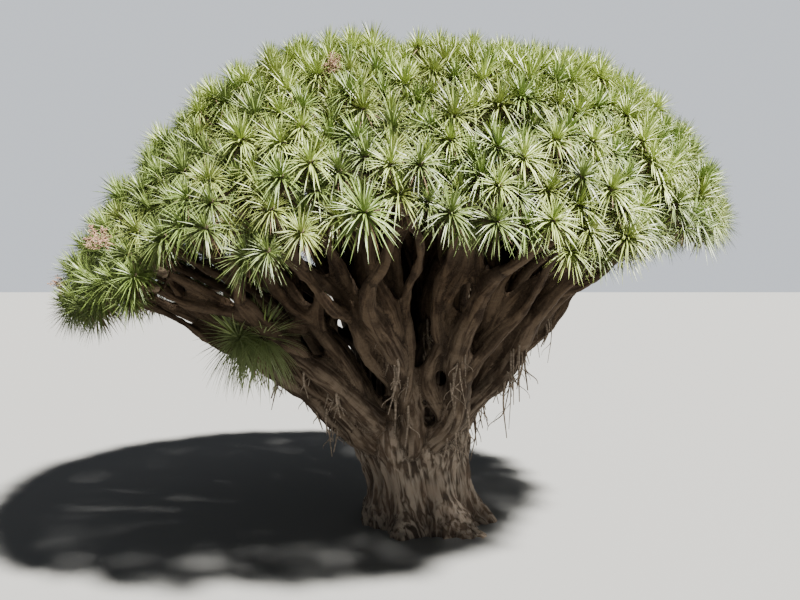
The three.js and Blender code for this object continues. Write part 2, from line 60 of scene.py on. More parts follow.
# Crown: the outline that the leaf tips reach
TREE_HEIGHT = 7.2
CROWN_CENTRE = np.array([-0.4, 0.0, 3.6])
CROWN_HALF_WIDTH = 4.9
CROWN_HALF_DEPTH = 4.7
CROWN_RISE = TREE_HEIGHT - CROWN_CENTRE[2]
CROWN_FULLNESS = 2.03
CROWN_FULLNESS_RIGHT = 0.28
RIM_EDGE = np.array([
    (0, 4.42), (45, 4.0), (90, 3.45), (135, 3.3), (180, 3.25), (210, 3.3), (231, 3.6), (237, 4.25),
    (243, 4.3), (247, 3.9), (255, 4.1), (268, 4.5), (285, 4.2), (300, 4.02), (315, 4.22), (330, 4.4),
    (360, 4.42),
])  # azimuth, and the height of its lowest rosettes

# Trunk: height, radius and depth of the flutes
TRUNK_PROFILE = np.array([
    (0.0, 0.95, 0.1), (0.13, 0.88, 0.09), (0.32, 0.795, 0.066), (0.58, 0.745, 0.042),
    (0.88, 0.765, 0.036), (1.18, 0.84, 0.036), (1.45, 0.89, 0.036), (1.66, 0.81, 0.03),
    (1.82, 0.61, 0.024), (1.92, 0.34, 0.012),
])
TRUNK_TOP = TRUNK_PROFILE[-1, 0]
TRUNK_LEAN = -0.33
TRUNK_CURVE = 0.8
FLUTES = [(7, 0.9, 1.0), (11, 2.1, 0.45)]  # count, phase and share of each wave
SPUR = {"angle": -48, "reach": 0.26, "narrowness": 14, "fade": 0.17}

# Boughs, by the tier of foliage that they carry
BOUGH_KINDS = {
    "rim": {"radius": 0.215, "level": 0.98, "outward": 0.33, "leaving": 40, "arriving": 32},
    "low": {"radius": 0.2, "level": 0.9, "outward": 0.33, "leaving": 40, "arriving": 32},
    "upper": {"radius": 0.2, "level": 1.28, "outward": 0.15, "leaving": 76, "arriving": 66},
    "middle": {"radius": 0.15, "from": "rim", "fork": 0.36, "fork_spread": 0.2},
    "top": {"radius": 0.15, "from": "upper", "fork": 0.5, "fork_spread": 0.0},
}
LEAVING_SPREAD = 14
ARRIVING_SPREAD = 16
BOUGH_PULLS = (0.32, 0.35)  # of its first and last direction, as shares of its length
FORK_PULLS = (0.35, 0.35)
FORK_UPRIGHT = 0.45
FOOT_SHARE = 0.66
BOUGH_TIP_RADIUS = 0.09
LIMB_TAPER = 0.8
SWAY = 0.14
FORK_SWAY = 0.076
SWAY_UPRIGHT = 0.7
SWAY_FADE = 0.7
FINE_WAVE = 0.5
SIDE_WAVES = (5, 11)
UPRIGHT_WAVES = (6, 12)

# Foliage masses: name, count, azimuth, elevation, elevation of the foot, tilt to the right
TIERS = [
    ("rim", 12, -8, 12, 3, 7.5),
    ("middle", 9, -28, 37, 34, 3),
    ("upper", 5, 18, 62, 62, 0),
    ("top", 1, 180, 87, 87, 0),
]
AZIMUTH_SPREAD = 7
ELEVATION_SPREAD = 4
MASS_MIDDLE = 0.86
LOW_TUFT = {
    "azimuth": 216,
    "elevation": 20,
    "heart": np.array([-2.43, -1.53, 2.88]),
    "stem": 0.52,
    "rosettes": 3,
    "spread": 0.17,
    "tilt": 10,
    "forward": np.array([0.12, -0.42, 0.08]),
    "axis": (0.3, 0.5, 0.7),  # shares of outward, sideways and up
    "size": 1.8,
    "leaf_spread": 1.15,
}
SEEDS = {
    "masses": 20260,
    "rosettes": 20267,
    "sway": 20260,
    "aim": 20760,
    "branches": 31000,
    "branch_limbs": 31100,
    "shoots": 903,
    "roots": 611,
    "panicles": 87,
    "bough_knots": 40000,
    "branch_knots": 41000,
    "tones": 515,
    "young_leaves": 900,
    "withered_leaves": 950,
}
SWAY_SEED_STEP = 31
BRANCH_SEED_STEP = 10
LEAF_SEED_STEP = 100

# Rosettes: every one of them, where the solids have one for several
ROSETTE_DARTS = 40000
LOWEST_SINE = -0.2  # of their elevation
ROSETTE_PITCH = (0.274, 0.24)  # at the rim and at the top
ROSETTE_DEPTH = (0.155, 0.42)  # under the crown's outline
ROSETTE_CROWDING = 0.12
CROWDING_WAVES = (2.1, 2.4)
ROSETTE_UPRIGHT = (0.5, 0.8)
ROSETTE_SPREAD = (1.05, 0.78)  # of its leaves, the second from SPREAD_TOP up
SPREAD_TOP = 0.8
ROSETTE_SIZES = (0.82, 1.1)
SWELLS = [  # azimuth and elevation of each swelling or hollow of the crown, its rise and its narrowness
    (214, 57, 0.2, 12), (202, 18, -0.2, 16), (196, -6, 0.12, 30), (339, 40, 0.08, 10), (0, 88, -0.1, 6),
    (90, 5, -0.14, 3),
]
LOBE_DEPTH = 0.22  # how far the crown dips between two masses
LOBE_WIDTH = 0.5

# Branches: four to a mass, the first on from the bough's tip and the rest from forks before it
BRANCH_FORKS = (1.0, 0.72, 0.45, 0.2)
BRANCH_TURNS = (0.4, 0.9, 0.9, 0.9)
BRANCH_RISES = (0.0, 0.5, 0.8, 1.1)
BRANCH_UPRIGHT = 0.4
BRANCH_FORK_SPREAD = 0.1
BRANCH_RADIUS = 0.115
BRANCH_SHARE = 0.86
BRANCH_TIP_RADIUS = 0.046
BRANCH_SWAY = 0.034  # share of its length
HUB_DEPTH = 0.5  # how far under its rosettes a branch ends
LOW_HUB_DEPTH = 0.3

# Shoots: slim limbs that rise from a bough to half of what one of its branches would carry
SHOOT_FORKS = (0.08, 0.5)
SHOOT_RADII = (0.07, 0.11)  # where it leaves the bough
SHOOT_TIP_RADIUS = 0.042
SHOOT_LEAST = 5  # rosettes of the branch
SHOOT_SWAY = 0.055  # share of its length
SHOOT_SPREAD = 0.5
SHOOT_ALONG = 0.5
SHOOT_UPRIGHT = 0.5

# Twigs: from a branch's or shoot's end to the rosettes
TWIG_RADIUS = 0.03
TWIG_SWELL = 0.36
TWIG_STEPS = 6
TWIG_FORK = 0.42  # share of the way to the middle of its rosettes
TWIG_TURN = 1.2
TWIG_ENDS = (1.05, 1.2)  # swelling of the last twig, where it starts and under its rosette
HEART_HEIGHT = 0.03
FINE_PULLS = (0.38, 0.38)

# Roots that hang from the boughs, most of them on the right
ROOT_BUNCHES = (2, 5)  # of a bough on the left and on the right
ROOT_RIGHT = -25  # azimuth
ROOT_SPAN = (0.24, 0.42)  # of the bough: its start and its length
ROOT_COUNTS = (2, 4)  # the fewest in a bunch, and how many more
ROOT_DEPTH = 0.7
ROOT_BUNCH_LENGTH = 0.2
ROOT_LENGTHS = (0.14, 0.4, 0.3)  # the least, what chance adds, and what it adds again on the right
ROOT_SHORTNESS = 1.5
ROOT_BOW = 0.05
ROOT_WAVE = 4
ROOT_RADII = (0.011, 0.013)  # the least, and what chance adds
ROOT_TIP = 0.35
ROOT_STEPS = 8
ROOT_FORK = {"step": 4, "elevation": -50, "length": 0.4, "foot": 0.5, "tip": 0.2}

# Dried flower heads: azimuth, elevation and share of the reach
PANICLES = [(224, 8, 1.0), (199, 1, 0.98), (256, 41, 0.98), (60, 30, 1.0), (120, 15, 0.97)]
PANICLE_SPREAD = 0.13
PANICLE_TIP = 0.7  # spreads from its middle
PANICLE_UPRIGHT = 0.3
PANICLE_ALONG = 0.4
PANICLE_DROOP = 0.4
PANICLE_BRANCHES = 12
PANICLE_TURN = 2.4
PANICLE_STALK = (0.011, 0.003, 11)  # radius at the foot and the tip, and count of points
PANICLE_BRANCH = (0.004, 0.0025, 6)
PANICLE_FINE = [0.0025, 0.003, 0.0055]
PANICLE_FINE_LENGTH = 0.045
PANICLE_FINE_COUNT = 4
PANICLE_FINE_TILTS = (-60, 60)
PANICLE_FINE_ASIDE = 1.3

# Bark: knots along the limbs, and the skin that welds them
WOOD_STEP = 0.06
KNOT_SPACING = 0.5
KNOT_FIRST = 0.6  # spacings to the first knot, at the least
KNOT_LEAST = 0.7  # and from one knot to the next
KNOT_CHANCE = 0.6  # what chance adds to either
KNOT_LAST = 0.1  # from the limb's end
KNOT_WIDTH = 0.075
KNOT_PINCH = 0.1
KNOT_BULGE = 0.04
WELD = 0.038
SKIN_GRAIN = 0.0355
SKIN_SMOOTHINGS = 3
SMOOTHING = 0.6
TRUNK_SHARE = 0.28  # of a bough's length stays with the trunk's piece
BRANCH_CUT_SHARE = 0.1
BRANCH_CUT = 0.5  # where no knot is far enough along
CRUMB = 300  # corners of the smallest part that is kept
BOUGH_PIECES = ["right", "back_right", "back_left", "left", "front"]
SECTOR = 360 / len(BOUGH_PIECES)
LABEL_SMOOTHINGS = 12
TUBE_SIDES = 16
TRUNK_SIDES = 90
TRUNK_STEP = 0.04
TRUNK_BURIED = 0.3
TRUNK_REACH = 0.3  # above its top
FAR = 9.0
BARK_REACH = 0.12  # from a limb's own surface
BARK_MARKS = {  # width and length of a mark, and its seed
    "ribs": (0.3, 1.5, 5),
    "strands": (0.13, 0.85, 1),
    "threads": (0.055, 0.4, 2),
    "lumps": (0.2, 0.24, 3),
    "rings": (0.3, 0.05, 4),
}
MARK_HEIGHTS = {  # from its lowest to its highest, and how much more on thick wood
    "strands": (0.026, 0.044),
    "threads": (0.013, 0.013),
    "lumps": (0.04, 0.025),
}
RIB_HEIGHT = 0.1  # on thick wood
RING_HEIGHT = 0.012  # on thin wood
STRAND_SHARPNESS = 1.5
PATTERN_SHIFT = 7.3  # from the pattern of one limb to that of the next
BARK_BEND = 0.22
BEND_SCALES = (1.6, 1.1)  # across and along a limb
BEND_SHIFT = 31.7
BEND_SEEDS = (11, 12)
LONELY_BARK = 0.06  # from the next limb, for the bark to stand out in full
LEAST_RELIEF = 0.1  # share of it that is left where two limbs meet
# Painted shade: how much darker the bark is painted where two limbs meet
PAINTED_JOINT_SHADE = 0.3
PAINTED_SHADE_SHARES = (0.2, 0.5, 0.3)  # painted shade in the bark's grooves, by ribs, strands and threads
THICK_WOOD = (0.1, 0.35)  # radius from which bark is ribbed, and how much more makes it fully so
SLIM_WOOD = (0.42, 0.3)  # the same for smooth young bark
YOUNG_WOOD = (0.9, 2.6)  # height from which bark is young, and how much more makes it fully so
YOUTH_SHARES = (0.55, 0.45)  # by slimness and by height

# Leaves: shape of those of the crown, and what is different in the others
LEAF_LENGTH = 0.39
CROWN_LEAVES = {
    "Leaves": 107,
    "Leaf Length": LEAF_LENGTH,
    "Leaf Width": 0.0215,
    "Fold": 0.45,
    "Arch": 0.03,
    "Rows": 3,
    "Inner Angle": 0.3,
    "Outer Angle": 2.05,
    "Droop": 0.42,
    "Shortest": 0.86,
}
LOW_LEAVES = CROWN_LEAVES | {"Leaves": 190, "Leaf Width": 0.013, "Arch": 0.12, "Rows": 5, "Droop": 0.55}
YOUNG_LEAVES = CROWN_LEAVES | {
    "Leaves": 9,
    "Leaf Length": LEAF_LENGTH * 0.9,
    "Leaf Width": 0.02,
    "Fold": 0.6,
    "Arch": 0.0,
    "Inner Angle": 0.02,
    "Outer Angle": 0.4,
    "Droop": 0.0,
    "Shortest": 0.75,
}
WITHERED_LEAVES = YOUNG_LEAVES | {
    "Leaves": 10,
    "Leaf Length": LEAF_LENGTH * 0.85,
    "Arch": 0.02,
    "Inner Angle": 2.05,
    "Outer Angle": 2.85,
    "Droop": 0.5,
    "Shortest": 0.7,
}
LEAF_CLASP = 5.0
LEAF_FOOT = 0.65  # width of a leaf where it starts
POLAR_CHANCE = 0.14
TURN_CHANCE = 0.25
SIZE_CHANCE = (0.86, 1.06)
GROWTH_POWER = 0.4
SAG_POWER = 1.8
SAG_YOUNG = 0.2
SAG_BACK = -0.35

# Colours
BARK = {
    "old": ((0.052, 0.04, 0.031), (0.265, 0.222, 0.175)),
    # young bark: its brown darkened as painted shade under the crown
    "young": ((0.014, 0.008, 0.0045), (0.066, 0.043, 0.025)),
    "old_blotch": (0.18, 0.125, 0.088),
    "young_blotch": (0.084, 0.061, 0.04),
    "ring": (0.045, 0.03, 0.02),
    # painted shade in the bark's grooves and where limbs meet
    "painted_crease_shade": (0.018, 0.012, 0.008),
}
TWIG_BARK = ((0.05, 0.035, 0.025), (0.15, 0.11, 0.078))
ROOT_BARK = ((0.12, 0.095, 0.072), (0.24, 0.195, 0.15))
FLOWER_HEAD = ((0.13, 0.06, 0.034), (0.2, 0.125, 0.078))
CROWN_TONES = {  # from the dark ones, most of them low in the crown, to the pale ones at the top: tone by chance, and painted light from above and the right
    "mid": (0.079, 0.109, 0.0235),
    "fresh": (0.1, 0.146, 0.0285),
    "olive": (0.138, 0.168, 0.035),
    "light": (0.186, 0.233, 0.053),
    "pale": (0.252, 0.304, 0.084),
}
LOW_TONE = (0.165, 0.205, 0.08)
YOUNG_TONE = (0.115, 0.16, 0.032)
WITHERED_TONE = (0.1, 0.06, 0.028)
# painted light: how much paler the rosettes are dealt towards the top and the right
PAINTED_LIGHT_LIFT = 2.0
PAINTED_LIGHT_WAY = (0.15, 0.0, 1.0)

# Finishes: a range is the part of a pattern over which its effect goes from nothing to all
WOOD_GLOSS = 0.12
WOOD_ROUGHNESS = 0.85
BARK_ROUGHNESS = (0.95, 0.78)  # between the strands and on them
# the crease ranges and strengths give the painted shade in grooves and where limbs meet
BARK_RANGES = {"strands": (0.41, 0.6), "blotches": (0.42, 0.6), "rings": (0.35, 0.6), "painted_crease_shades": (0.42, 0.85)}
BARK_STRENGTHS = {"blotches": 0.4, "rings": 0.35, "painted_crease_shades": 0.8}
BLOTCHES = {"scale": 2.6, "detail": 6.0, "Roughness": 0.72}
FIBRE_WIDTH = 0.014
FIBRE_BEND = 0.6
RING_SPACING = 0.028
TWIG_RING_SPACING = 0.025
TWIG_RANGE = (0.35, 0.65)
RING_WAVES = 9.0  # scale of the waves in the rings
RING_CHANGE = 4.0  # how soon a ring changes round a limb
FLOWER_ROUGHNESS = 0.8
FLOWER_BLOTCHES = {"scale": 30.0, "detail": 2.0}
FLOWER_RANGE = (0.35, 0.65)
WAX_PATCHES = {"scale": 14.0, "detail": 2.0}
WAX_RANGE = (0.3, 0.7)
WAX_STREAKS = {"scale": 160.0, "detail": 1.0}
LEAF_ROUGHNESS = (0.56, 0.4)  # where it is dull and where it is waxy
WITHERED_ROUGHNESS = (0.85, 0.7)
BARK_BUMP = (0.8, 0.018)  # strength and depth
TWIG_BUMP = (0.6, 0.006)
LEAF_BUMP = (0.25, 0.002)

# Stage
FLOOR_REACH = 90
FLOOR_COLOUR = (0.107, 0.107, 0.104)
FLOOR_ROUGHNESS = 0.9
SKY_COLOUR = (0.88, 0.93, 1.0)
SKY_SHINE = 0.28
BACKDROP_SHINE = 0.65  # more, where the camera sees it
SUN = {"energy": 47, "width": 5, "colour": (1.0, 0.975, 0.92), "turn": (20, 28, 0)}
CAMERA = {"place": (-0.386, -12.0, 3.98), "down": 2.8, "lens": 35, "film": 36}

UP = np.array([0.0, 0.0, 1.0])
TAU = math.tau
scene = bpy.context.scene


# The rule of the tree


def dice(seed):
    """A seeded sequence of numbers from 0 to 1, as the solids use."""
    modulus = 2147483647
    state = seed % modulus + 1
    while True:
        state = state * 48271 % modulus
        yield state / modulus


def unit(vector):
    return vector / np.linalg.norm(vector)


def part_way(pair, share):
    """A number between two, by a share from 0 to 1."""
    return pair[0] + (pair[1] - pair[0]) * share


def direction(azimuth, elevation):
    a, e = math.radians(azimuth), math.radians(elevation)
    return np.array([math.cos(a) * math.cos(e), math.sin(a) * math.cos(e), math.sin(e)])


def crown_reach(way):
    """Distance from the crown's centre to its leaf tips along a unit direction."""
    level = math.hypot(way[0], way[1])
    rightness = way[0] / level if level > 0 else 0
    power = CROWN_FULLNESS + CROWN_FULLNESS_RIGHT * rightness
    flat = math.hypot(way[0] / CROWN_HALF_WIDTH, way[1] / CROWN_HALF_DEPTH)
    tall = abs(way[2]) / CROWN_RISE
    return (flat**power + tall**power) ** (-1 / power)


def crown_point(way, share):
    return CROWN_CENTRE + way * crown_reach(way) * share


def trunk_shift(height):
    """How far the trunk's middle stands to the right at a height."""
    return TRUNK_LEAN * (np.clip(height, 0, None) / TRUNK_TOP) ** TRUNK_CURVE


def trunk_middle(height):
    return np.array([trunk_shift(height), 0.0, height])


def trunk_radius(height, angle):
    """Trunk radius: the taper, with root buttresses and one long spur."""
    height = np.maximum(height, 0)
    radius = np.interp(height, TRUNK_PROFILE[:, 0], TRUNK_PROFILE[:, 1])
    flute = np.interp(height, TRUNK_PROFILE[:, 0], TRUNK_PROFILE[:, 2])
    lobes = sum(share * np.cos(count * angle + phase) for count, phase, share in FLUTES)
    facing = np.maximum(0, np.cos(angle - math.radians(SPUR["angle"])))
    spur = SPUR["reach"] * facing ** SPUR["narrowness"] * np.exp(-height / SPUR["fade"])
    return radius * (1 + flute * lobes) + spur


def cubic(corners, t):
    a, b, c, d = corners
    return (1 - t) ** 3 * a + 3 * (1 - t) ** 2 * t * b + 3 * (1 - t) * t * t * c + t**3 * d


def bend(start, leaving, end, arriving, pulls):
    """Corners of a cubic between two places that leaves and arrives in given directions."""
    run = np.linalg.norm(end - start)
    first, last = pulls
    return [start, start + leaving * run * first, end - arriving * run * last, end]


def bent_path(start, leaving, end, arriving, steps):
    """Points of a smooth bend between two places and directions."""
    return cubic(bend(start, leaving, end, arriving, FINE_PULLS), np.linspace(0, 1, steps)[:, None])


def wander(t, waves, phases):
    slow, fast = waves
    return math.sin(slow * t + phases[0]) + FINE_WAVE * math.sin(fast * t + phases[1])


class Limb:
    """A cubic centreline with a seeded wander that is nothing at either end."""

    def __init__(self, corners, radius, tip_radius, sway, seed):
        roll = dice(seed)
        self.corners = corners
        self.end = corners[3]
        self.radius = radius
        self.tip_radius = tip_radius
        self.sway = sway
        along = unit(corners[3] - corners[0])
        self.side = unit(np.cross(along, UP))
        self.over = unit(np.cross(self.side, along))
        self.phases = [next(roll) * TAU for _ in range(4)]

    def point(self, t):
        fade = max(0.0, math.sin(math.pi * t)) ** SWAY_FADE * self.sway
        across = wander(t, SIDE_WAVES, self.phases[:2])
        upright = wander(t, UPRIGHT_WAVES, self.phases[2:])
        middle = cubic(self.corners, t)
        return middle + fade * across * self.side + fade * SWAY_UPRIGHT * upright * self.over

    def radius_at(self, t):
        return self.tip_radius + (self.radius - self.tip_radius) * (1 - t) ** LIMB_TAPER

    def heading(self, t, step=0.04):
        t = min(t, 1 - step)
        return unit(self.point(t + step) - self.point(t))


def foliage_masses():
    """The places of the foliage masses, tier by tier, and the low tuft under the left side."""
    roll = dice(SEEDS["masses"])
    masses = []
    for name, count, azimuth0, elevation, foot, rightward in TIERS:
        for i in range(count):
            azimuth = azimuth0 + 360 * i / count + (next(roll) - 0.5) * AZIMUTH_SPREAD
            tilt = rightward * math.cos(math.radians(azimuth))
            lift = tilt + (next(roll) - 0.5) * ELEVATION_SPREAD
            way = direction(azimuth, elevation + lift)
            masses.append({
                "name": f"{name}_{i + 1:02d}" if count > 1 else name,
                "tier": name,
                "azimuth": azimuth,
                "way": way,
                "middle": crown_point(way, MASS_MIDDLE),
                "foot": crown_point(direction(azimuth, foot + lift), FOOT_SHARE),
                "rosettes": [],
            })
    way = direction(LOW_TUFT["azimuth"], LOW_TUFT["elevation"])
    masses.append({
        "name": "low",
        "tier": "low",
        "azimuth": LOW_TUFT["azimuth"],
        "way": way,
        "foot": LOW_TUFT["heart"] - way * LOW_TUFT["stem"],
        "rosettes": [],
    })
    return masses


def trunk_bough(mass, i):
    """A bough that leaves the trunk's head and ends under its mass."""
    kind = BOUGH_KINDS[mass["tier"]]
    roll = dice(SEEDS["aim"] + i)
    start = trunk_middle(kind["level"]) + direction(mass["azimuth"], 0) * kind["outward"]
    leaving = direction(mass["azimuth"], kind["leaving"] + LEAVING_SPREAD * next(roll))
    arriving = direction(mass["azimuth"], kind["arriving"] + ARRIVING_SPREAD * next(roll))
    corners = bend(start, leaving, mass["foot"], arriving, BOUGH_PULLS)
    return Limb(corners, kind["radius"], BOUGH_TIP_RADIUS, SWAY, SEEDS["sway"] + SWAY_SEED_STEP * i)


def fork_bough(mass, i, carriers):
    """A bough that forks from the nearest bough of another kind, with its parent and the place."""
    kind = BOUGH_KINDS[mass["tier"]]
    end = mass["foot"]
    parents = [m for m in carriers if m["tier"] == kind["from"]]
    parent = min(parents, key=lambda m: np.linalg.norm(m["bough"].end - end))
    fork = kind["fork"] + kind["fork_spread"] * next(dice(SEEDS["aim"] + i))
    start = parent["bough"].point(fork)
    onward = unit(parent["bough"].point(fork + 0.05) - start)
    leaving = unit(onward + (UP - onward) * FORK_UPRIGHT)
    arriving = unit(end - trunk_middle(TRUNK_TOP))
    corners = bend(start, leaving, end, arriving, FORK_PULLS)
    seed = SEEDS["sway"] + SWAY_SEED_STEP * i
    return Limb(corners, kind["radius"], BOUGH_TIP_RADIUS, FORK_SWAY, seed), parent, fork


def grow_boughs(masses):
    """Gives each mass its bough: one that leaves the trunk, or one that forks from those."""
    carriers = [m for m in masses if "from" not in BOUGH_KINDS[m["tier"]]]
    for i, mass in sorted(enumerate(masses), key=lambda item: "from" in BOUGH_KINDS[item[1]["tier"]]):
        forks = "from" in BOUGH_KINDS[mass["tier"]]
        grown = fork_bough(mass, i, carriers) if forks else (trunk_bough(mass, i), None, 0.0)
        mass["bough"], mass["parent"], mass["fork"] = grown


def swelling(way):
    """How far the crown stands out from its outline along a unit direction."""
    rises = (rise * math.exp(narrow * (way @ direction(a, e) - 1)) for a, e, rise, narrow in SWELLS)
    return sum(rises)


def sprout_low_tuft(low, roll):
    """The rosettes of the tuft under the crown, round its heart."""
    outward, sideways, upward = LOW_TUFT["axis"]
    for i in range(LOW_TUFT["rosettes"]):
        side = direction(LOW_TUFT["azimuth"] + 360 * i / LOW_TUFT["rosettes"], LOW_TUFT["tilt"])
        low["rosettes"].append({
            "heart": LOW_TUFT["heart"] + side * LOW_TUFT["spread"] + LOW_TUFT["forward"],
            "axis": unit(low["way"] * outward + side * sideways + UP * upward),
            "size": LOW_TUFT["size"],
            "spin": next(roll) * TAU,
            "spread": LOW_TUFT["leaf_spread"],
        })


def sprout_rosettes(masses):
    """Rosette hearts: the low tuft's, and seeded darts on the crown's shell."""
    roll = dice(SEEDS["rosettes"])
    sprout_low_tuft(masses[-1], roll)
    crown = masses[:-1]
    middles = np.array([m["middle"] for m in crown])
    taken = np.zeros((0, 3))
    wave_x, wave_y = CROWDING_WAVES
    for _ in range(ROSETTE_DARTS):
        azimuth = next(roll) * 360
        sine = LOWEST_SINE + (1 - LOWEST_SINE) * next(roll)
        way = direction(azimuth, math.degrees(math.asin(sine)))
        depth = part_way(ROSETTE_DEPTH, next(roll)) - swelling(way)
        heart = CROWN_CENTRE + way * (crown_reach(way) - depth)
        if heart[2] < np.interp(azimuth, RIM_EDGE[:, 0], RIM_EDGE[:, 1]):
            continue
        height = max(0.0, way[2])
        wave = math.sin(wave_x * heart[0]) * math.cos(wave_y * heart[1] - heart[2])
        crowding = 1 + ROSETTE_CROWDING * wave
        pitch = np.interp(height, [0, 1], ROSETTE_PITCH) * crowding
        if len(taken) and np.min(np.sum((taken - heart) ** 2, axis=1)) < pitch**2:
            continue
        taken = np.vstack([taken, heart])
        gaps = np.linalg.norm(middles - heart, axis=1)
        first, second = np.argsort(gaps)[:2]
        dip = max(0.0, 1 - (gaps[second] - gaps[first]) / LOBE_WIDTH) ** 2
        heart = heart - way * LOBE_DEPTH * dip
        outward = unit(heart - CROWN_CENTRE)
        crown[first]["rosettes"].append({
            "heart": heart,
            "axis": unit(outward + (UP - outward) * np.interp(height, [0, 1], ROSETTE_UPRIGHT)),
            "size": part_way(ROSETTE_SIZES, next(roll)) * crowding,
            "spin": next(roll) * TAU,
            "spread": np.interp(height, [0, SPREAD_TOP], ROSETTE_SPREAD),
        })


def split(rosettes):
    """Two groups, round the two rosettes that stand furthest apart."""
    if len(rosettes) < 2:
        return [rosettes]
    hearts = np.array([r["heart"] for r in rosettes])
    gaps = np.linalg.norm(hearts[:, None] - hearts[None], axis=2)
    a, b = np.unravel_index(np.argmax(gaps), gaps.shape)
    joins = gaps[:, a] < gaps[:, b]
    return [[r for r, j in zip(rosettes, joins) if j], [r for r, j in zip(rosettes, joins) if not j]]


def middle_of(rosettes):
    return np.mean([r["heart"] for r in rosettes], axis=0)


def grow_branches(mass, number):
    """A mass's branches, from its bough's tip and from forks before it, with what each carries."""
    bough = mass["bough"]
    is_low = mass["tier"] == "low"
    parts = [mass["rosettes"]]
    if not is_low:
        parts = [part for half in split(mass["rosettes"]) for part in split(half)]
    leaving = bough.heading(1)
    aims = []
    for part in parts:
        middle = middle_of(part)
        outward = mass["way"] if is_low else unit(middle - CROWN_CENTRE)
        hub = middle - outward * (LOW_HUB_DEPTH if is_low else HUB_DEPTH)
        aims.append((-leaving @ unit(hub - bough.end), hub, outward, part))
    aims.sort(key=lambda aim: aim[0])
    branches = []
    roll = dice(SEEDS["branches"] + number)
    for k, (_, hub, outward, part) in enumerate(aims):
        t = BRANCH_FORKS[k] - (BRANCH_FORK_SPREAD * next(roll) if k else 0)
        start = bough.point(t)
        towards = unit(hub - start) * BRANCH_TURNS[k]
        away = unit(bough.heading(t) + towards + UP * BRANCH_RISES[k])
        arriving = unit(outward + UP * BRANCH_UPRIGHT)
        corners = bend(start, away, hub, arriving, FORK_PULLS)
        radius = min(BRANCH_RADIUS, bough.radius_at(t) * BRANCH_SHARE)
        sway = BRANCH_SWAY * np.linalg.norm(hub - start)
        seed = SEEDS["branch_limbs"] + BRANCH_SEED_STEP * number + k
        branches.append((Limb(corners, radius, BRANCH_TIP_RADIUS, sway, seed), arriving, part, t))
    return branches


def grow_shoot(mass, part, number, roll):
    """A slim limb from low on a mass's bough to the hub of a group of rosettes."""
    bough = mass["bough"]
    t = part_way(SHOOT_FORKS, next(roll))
    start, outward = bough.point(t), unit(middle_of(part) - CROWN_CENTRE)
    hub = middle_of(part) - outward * HUB_DEPTH
    arriving = unit(outward + UP * SHOOT_UPRIGHT)
    leaving = unit(bough.heading(t) * SHOOT_ALONG + UP + direction(360 * next(roll), 0) * SHOOT_SPREAD)
    corners = bend(start, leaving, hub, arriving, FINE_PULLS)
    radius = min(part_way(SHOOT_RADII, next(roll)), bough.radius_at(t) * BRANCH_SHARE)
    sway = SHOOT_SWAY * np.linalg.norm(hub - start)
    return Limb(corners, radius, SHOOT_TIP_RADIUS, sway, SEEDS["shoots"] + number), arriving, t


def grow_twigs(start, heading, rosettes, twigs):
    """From a branch's end, twigs fork towards the rosettes until each has its own."""
    radius = TWIG_RADIUS * len(rosettes) ** TWIG_SWELL
    if len(rosettes) == 1:
        heart, axis = rosettes[0]["heart"], rosettes[0]["axis"]
        path = bent_path(start, heading, heart + axis * HEART_HEIGHT, axis, TWIG_STEPS)
        slim, stout = TWIG_ENDS
        twigs.append((path, np.linspace(radius * slim, radius * stout, TWIG_STEPS)))
        return
    middle = middle_of(rosettes)
    end = start + (middle - start) * TWIG_FORK
    arriving = unit(heading + unit(middle - start))
    thin = TWIG_RADIUS * (len(rosettes) / 2) ** TWIG_SWELL
    path = bent_path(start, heading, end, arriving, TWIG_STEPS)
    twigs.append((path, np.linspace(radius, thin, TWIG_STEPS)))
    for part in split(rosettes):
        grow_twigs(end, unit(arriving + unit(middle_of(part) - end) * TWIG_TURN), part, twigs)


def hanging_root(middle, heading, radius, rightness, roll):
    """A root that hangs from a place in a bough, and the one that forks from it."""
    start = middle + direction(360 * next(roll), 0) * radius * ROOT_DEPTH
    start = start + heading * ROOT_BUNCH_LENGTH * (next(roll) - 0.5)
    least, more, more_right = ROOT_LENGTHS
    length = radius + least + (more + more_right * rightness) * next(roll) ** ROOT_SHORTNESS
    steps = np.linspace(0, 1, ROOT_STEPS)[:, None]
    bow = direction(360 * next(roll), 0) * ROOT_BOW
    path = start - UP * length * steps + bow * np.sin(steps * ROOT_WAVE)
    thin, thicker = ROOT_RADII
    thick = thin + thicker * next(roll)
    out = direction(360 * next(roll), ROOT_FORK["elevation"])
    foot = path[ROOT_FORK["step"]]
    fork = bent_path(foot, unit(out - UP), foot + out * length * ROOT_FORK["length"], -UP, ROOT_STEPS)
    return [
        (path, np.linspace(thick, thick * ROOT_TIP, ROOT_STEPS)),
        (fork, np.linspace(thick * ROOT_FORK["foot"], thick * ROOT_FORK["tip"], ROOT_STEPS)),
    ]


def hanging_roots(masses):
    """Bunches of thin roots that hang from the boughs."""
    roll = dice(SEEDS["roots"])
    paths = []
    first, span = ROOT_SPAN
    least, more = ROOT_COUNTS
    for mass in masses:
        if mass["tier"] == "top":
            continue
        bough = mass["bough"]
        rightness = max(0.0, math.cos(math.radians(mass["azimuth"] - ROOT_RIGHT)))
        for _ in range(round(part_way(ROOT_BUNCHES, rightness))):
            t = first + span * next(roll)
            middle, radius, heading = bough.point(t), bough.radius_at(t), bough.heading(t)
            for _ in range(least + int(more * next(roll))):
                paths += hanging_root(middle, heading, radius, rightness, roll)
    return paths


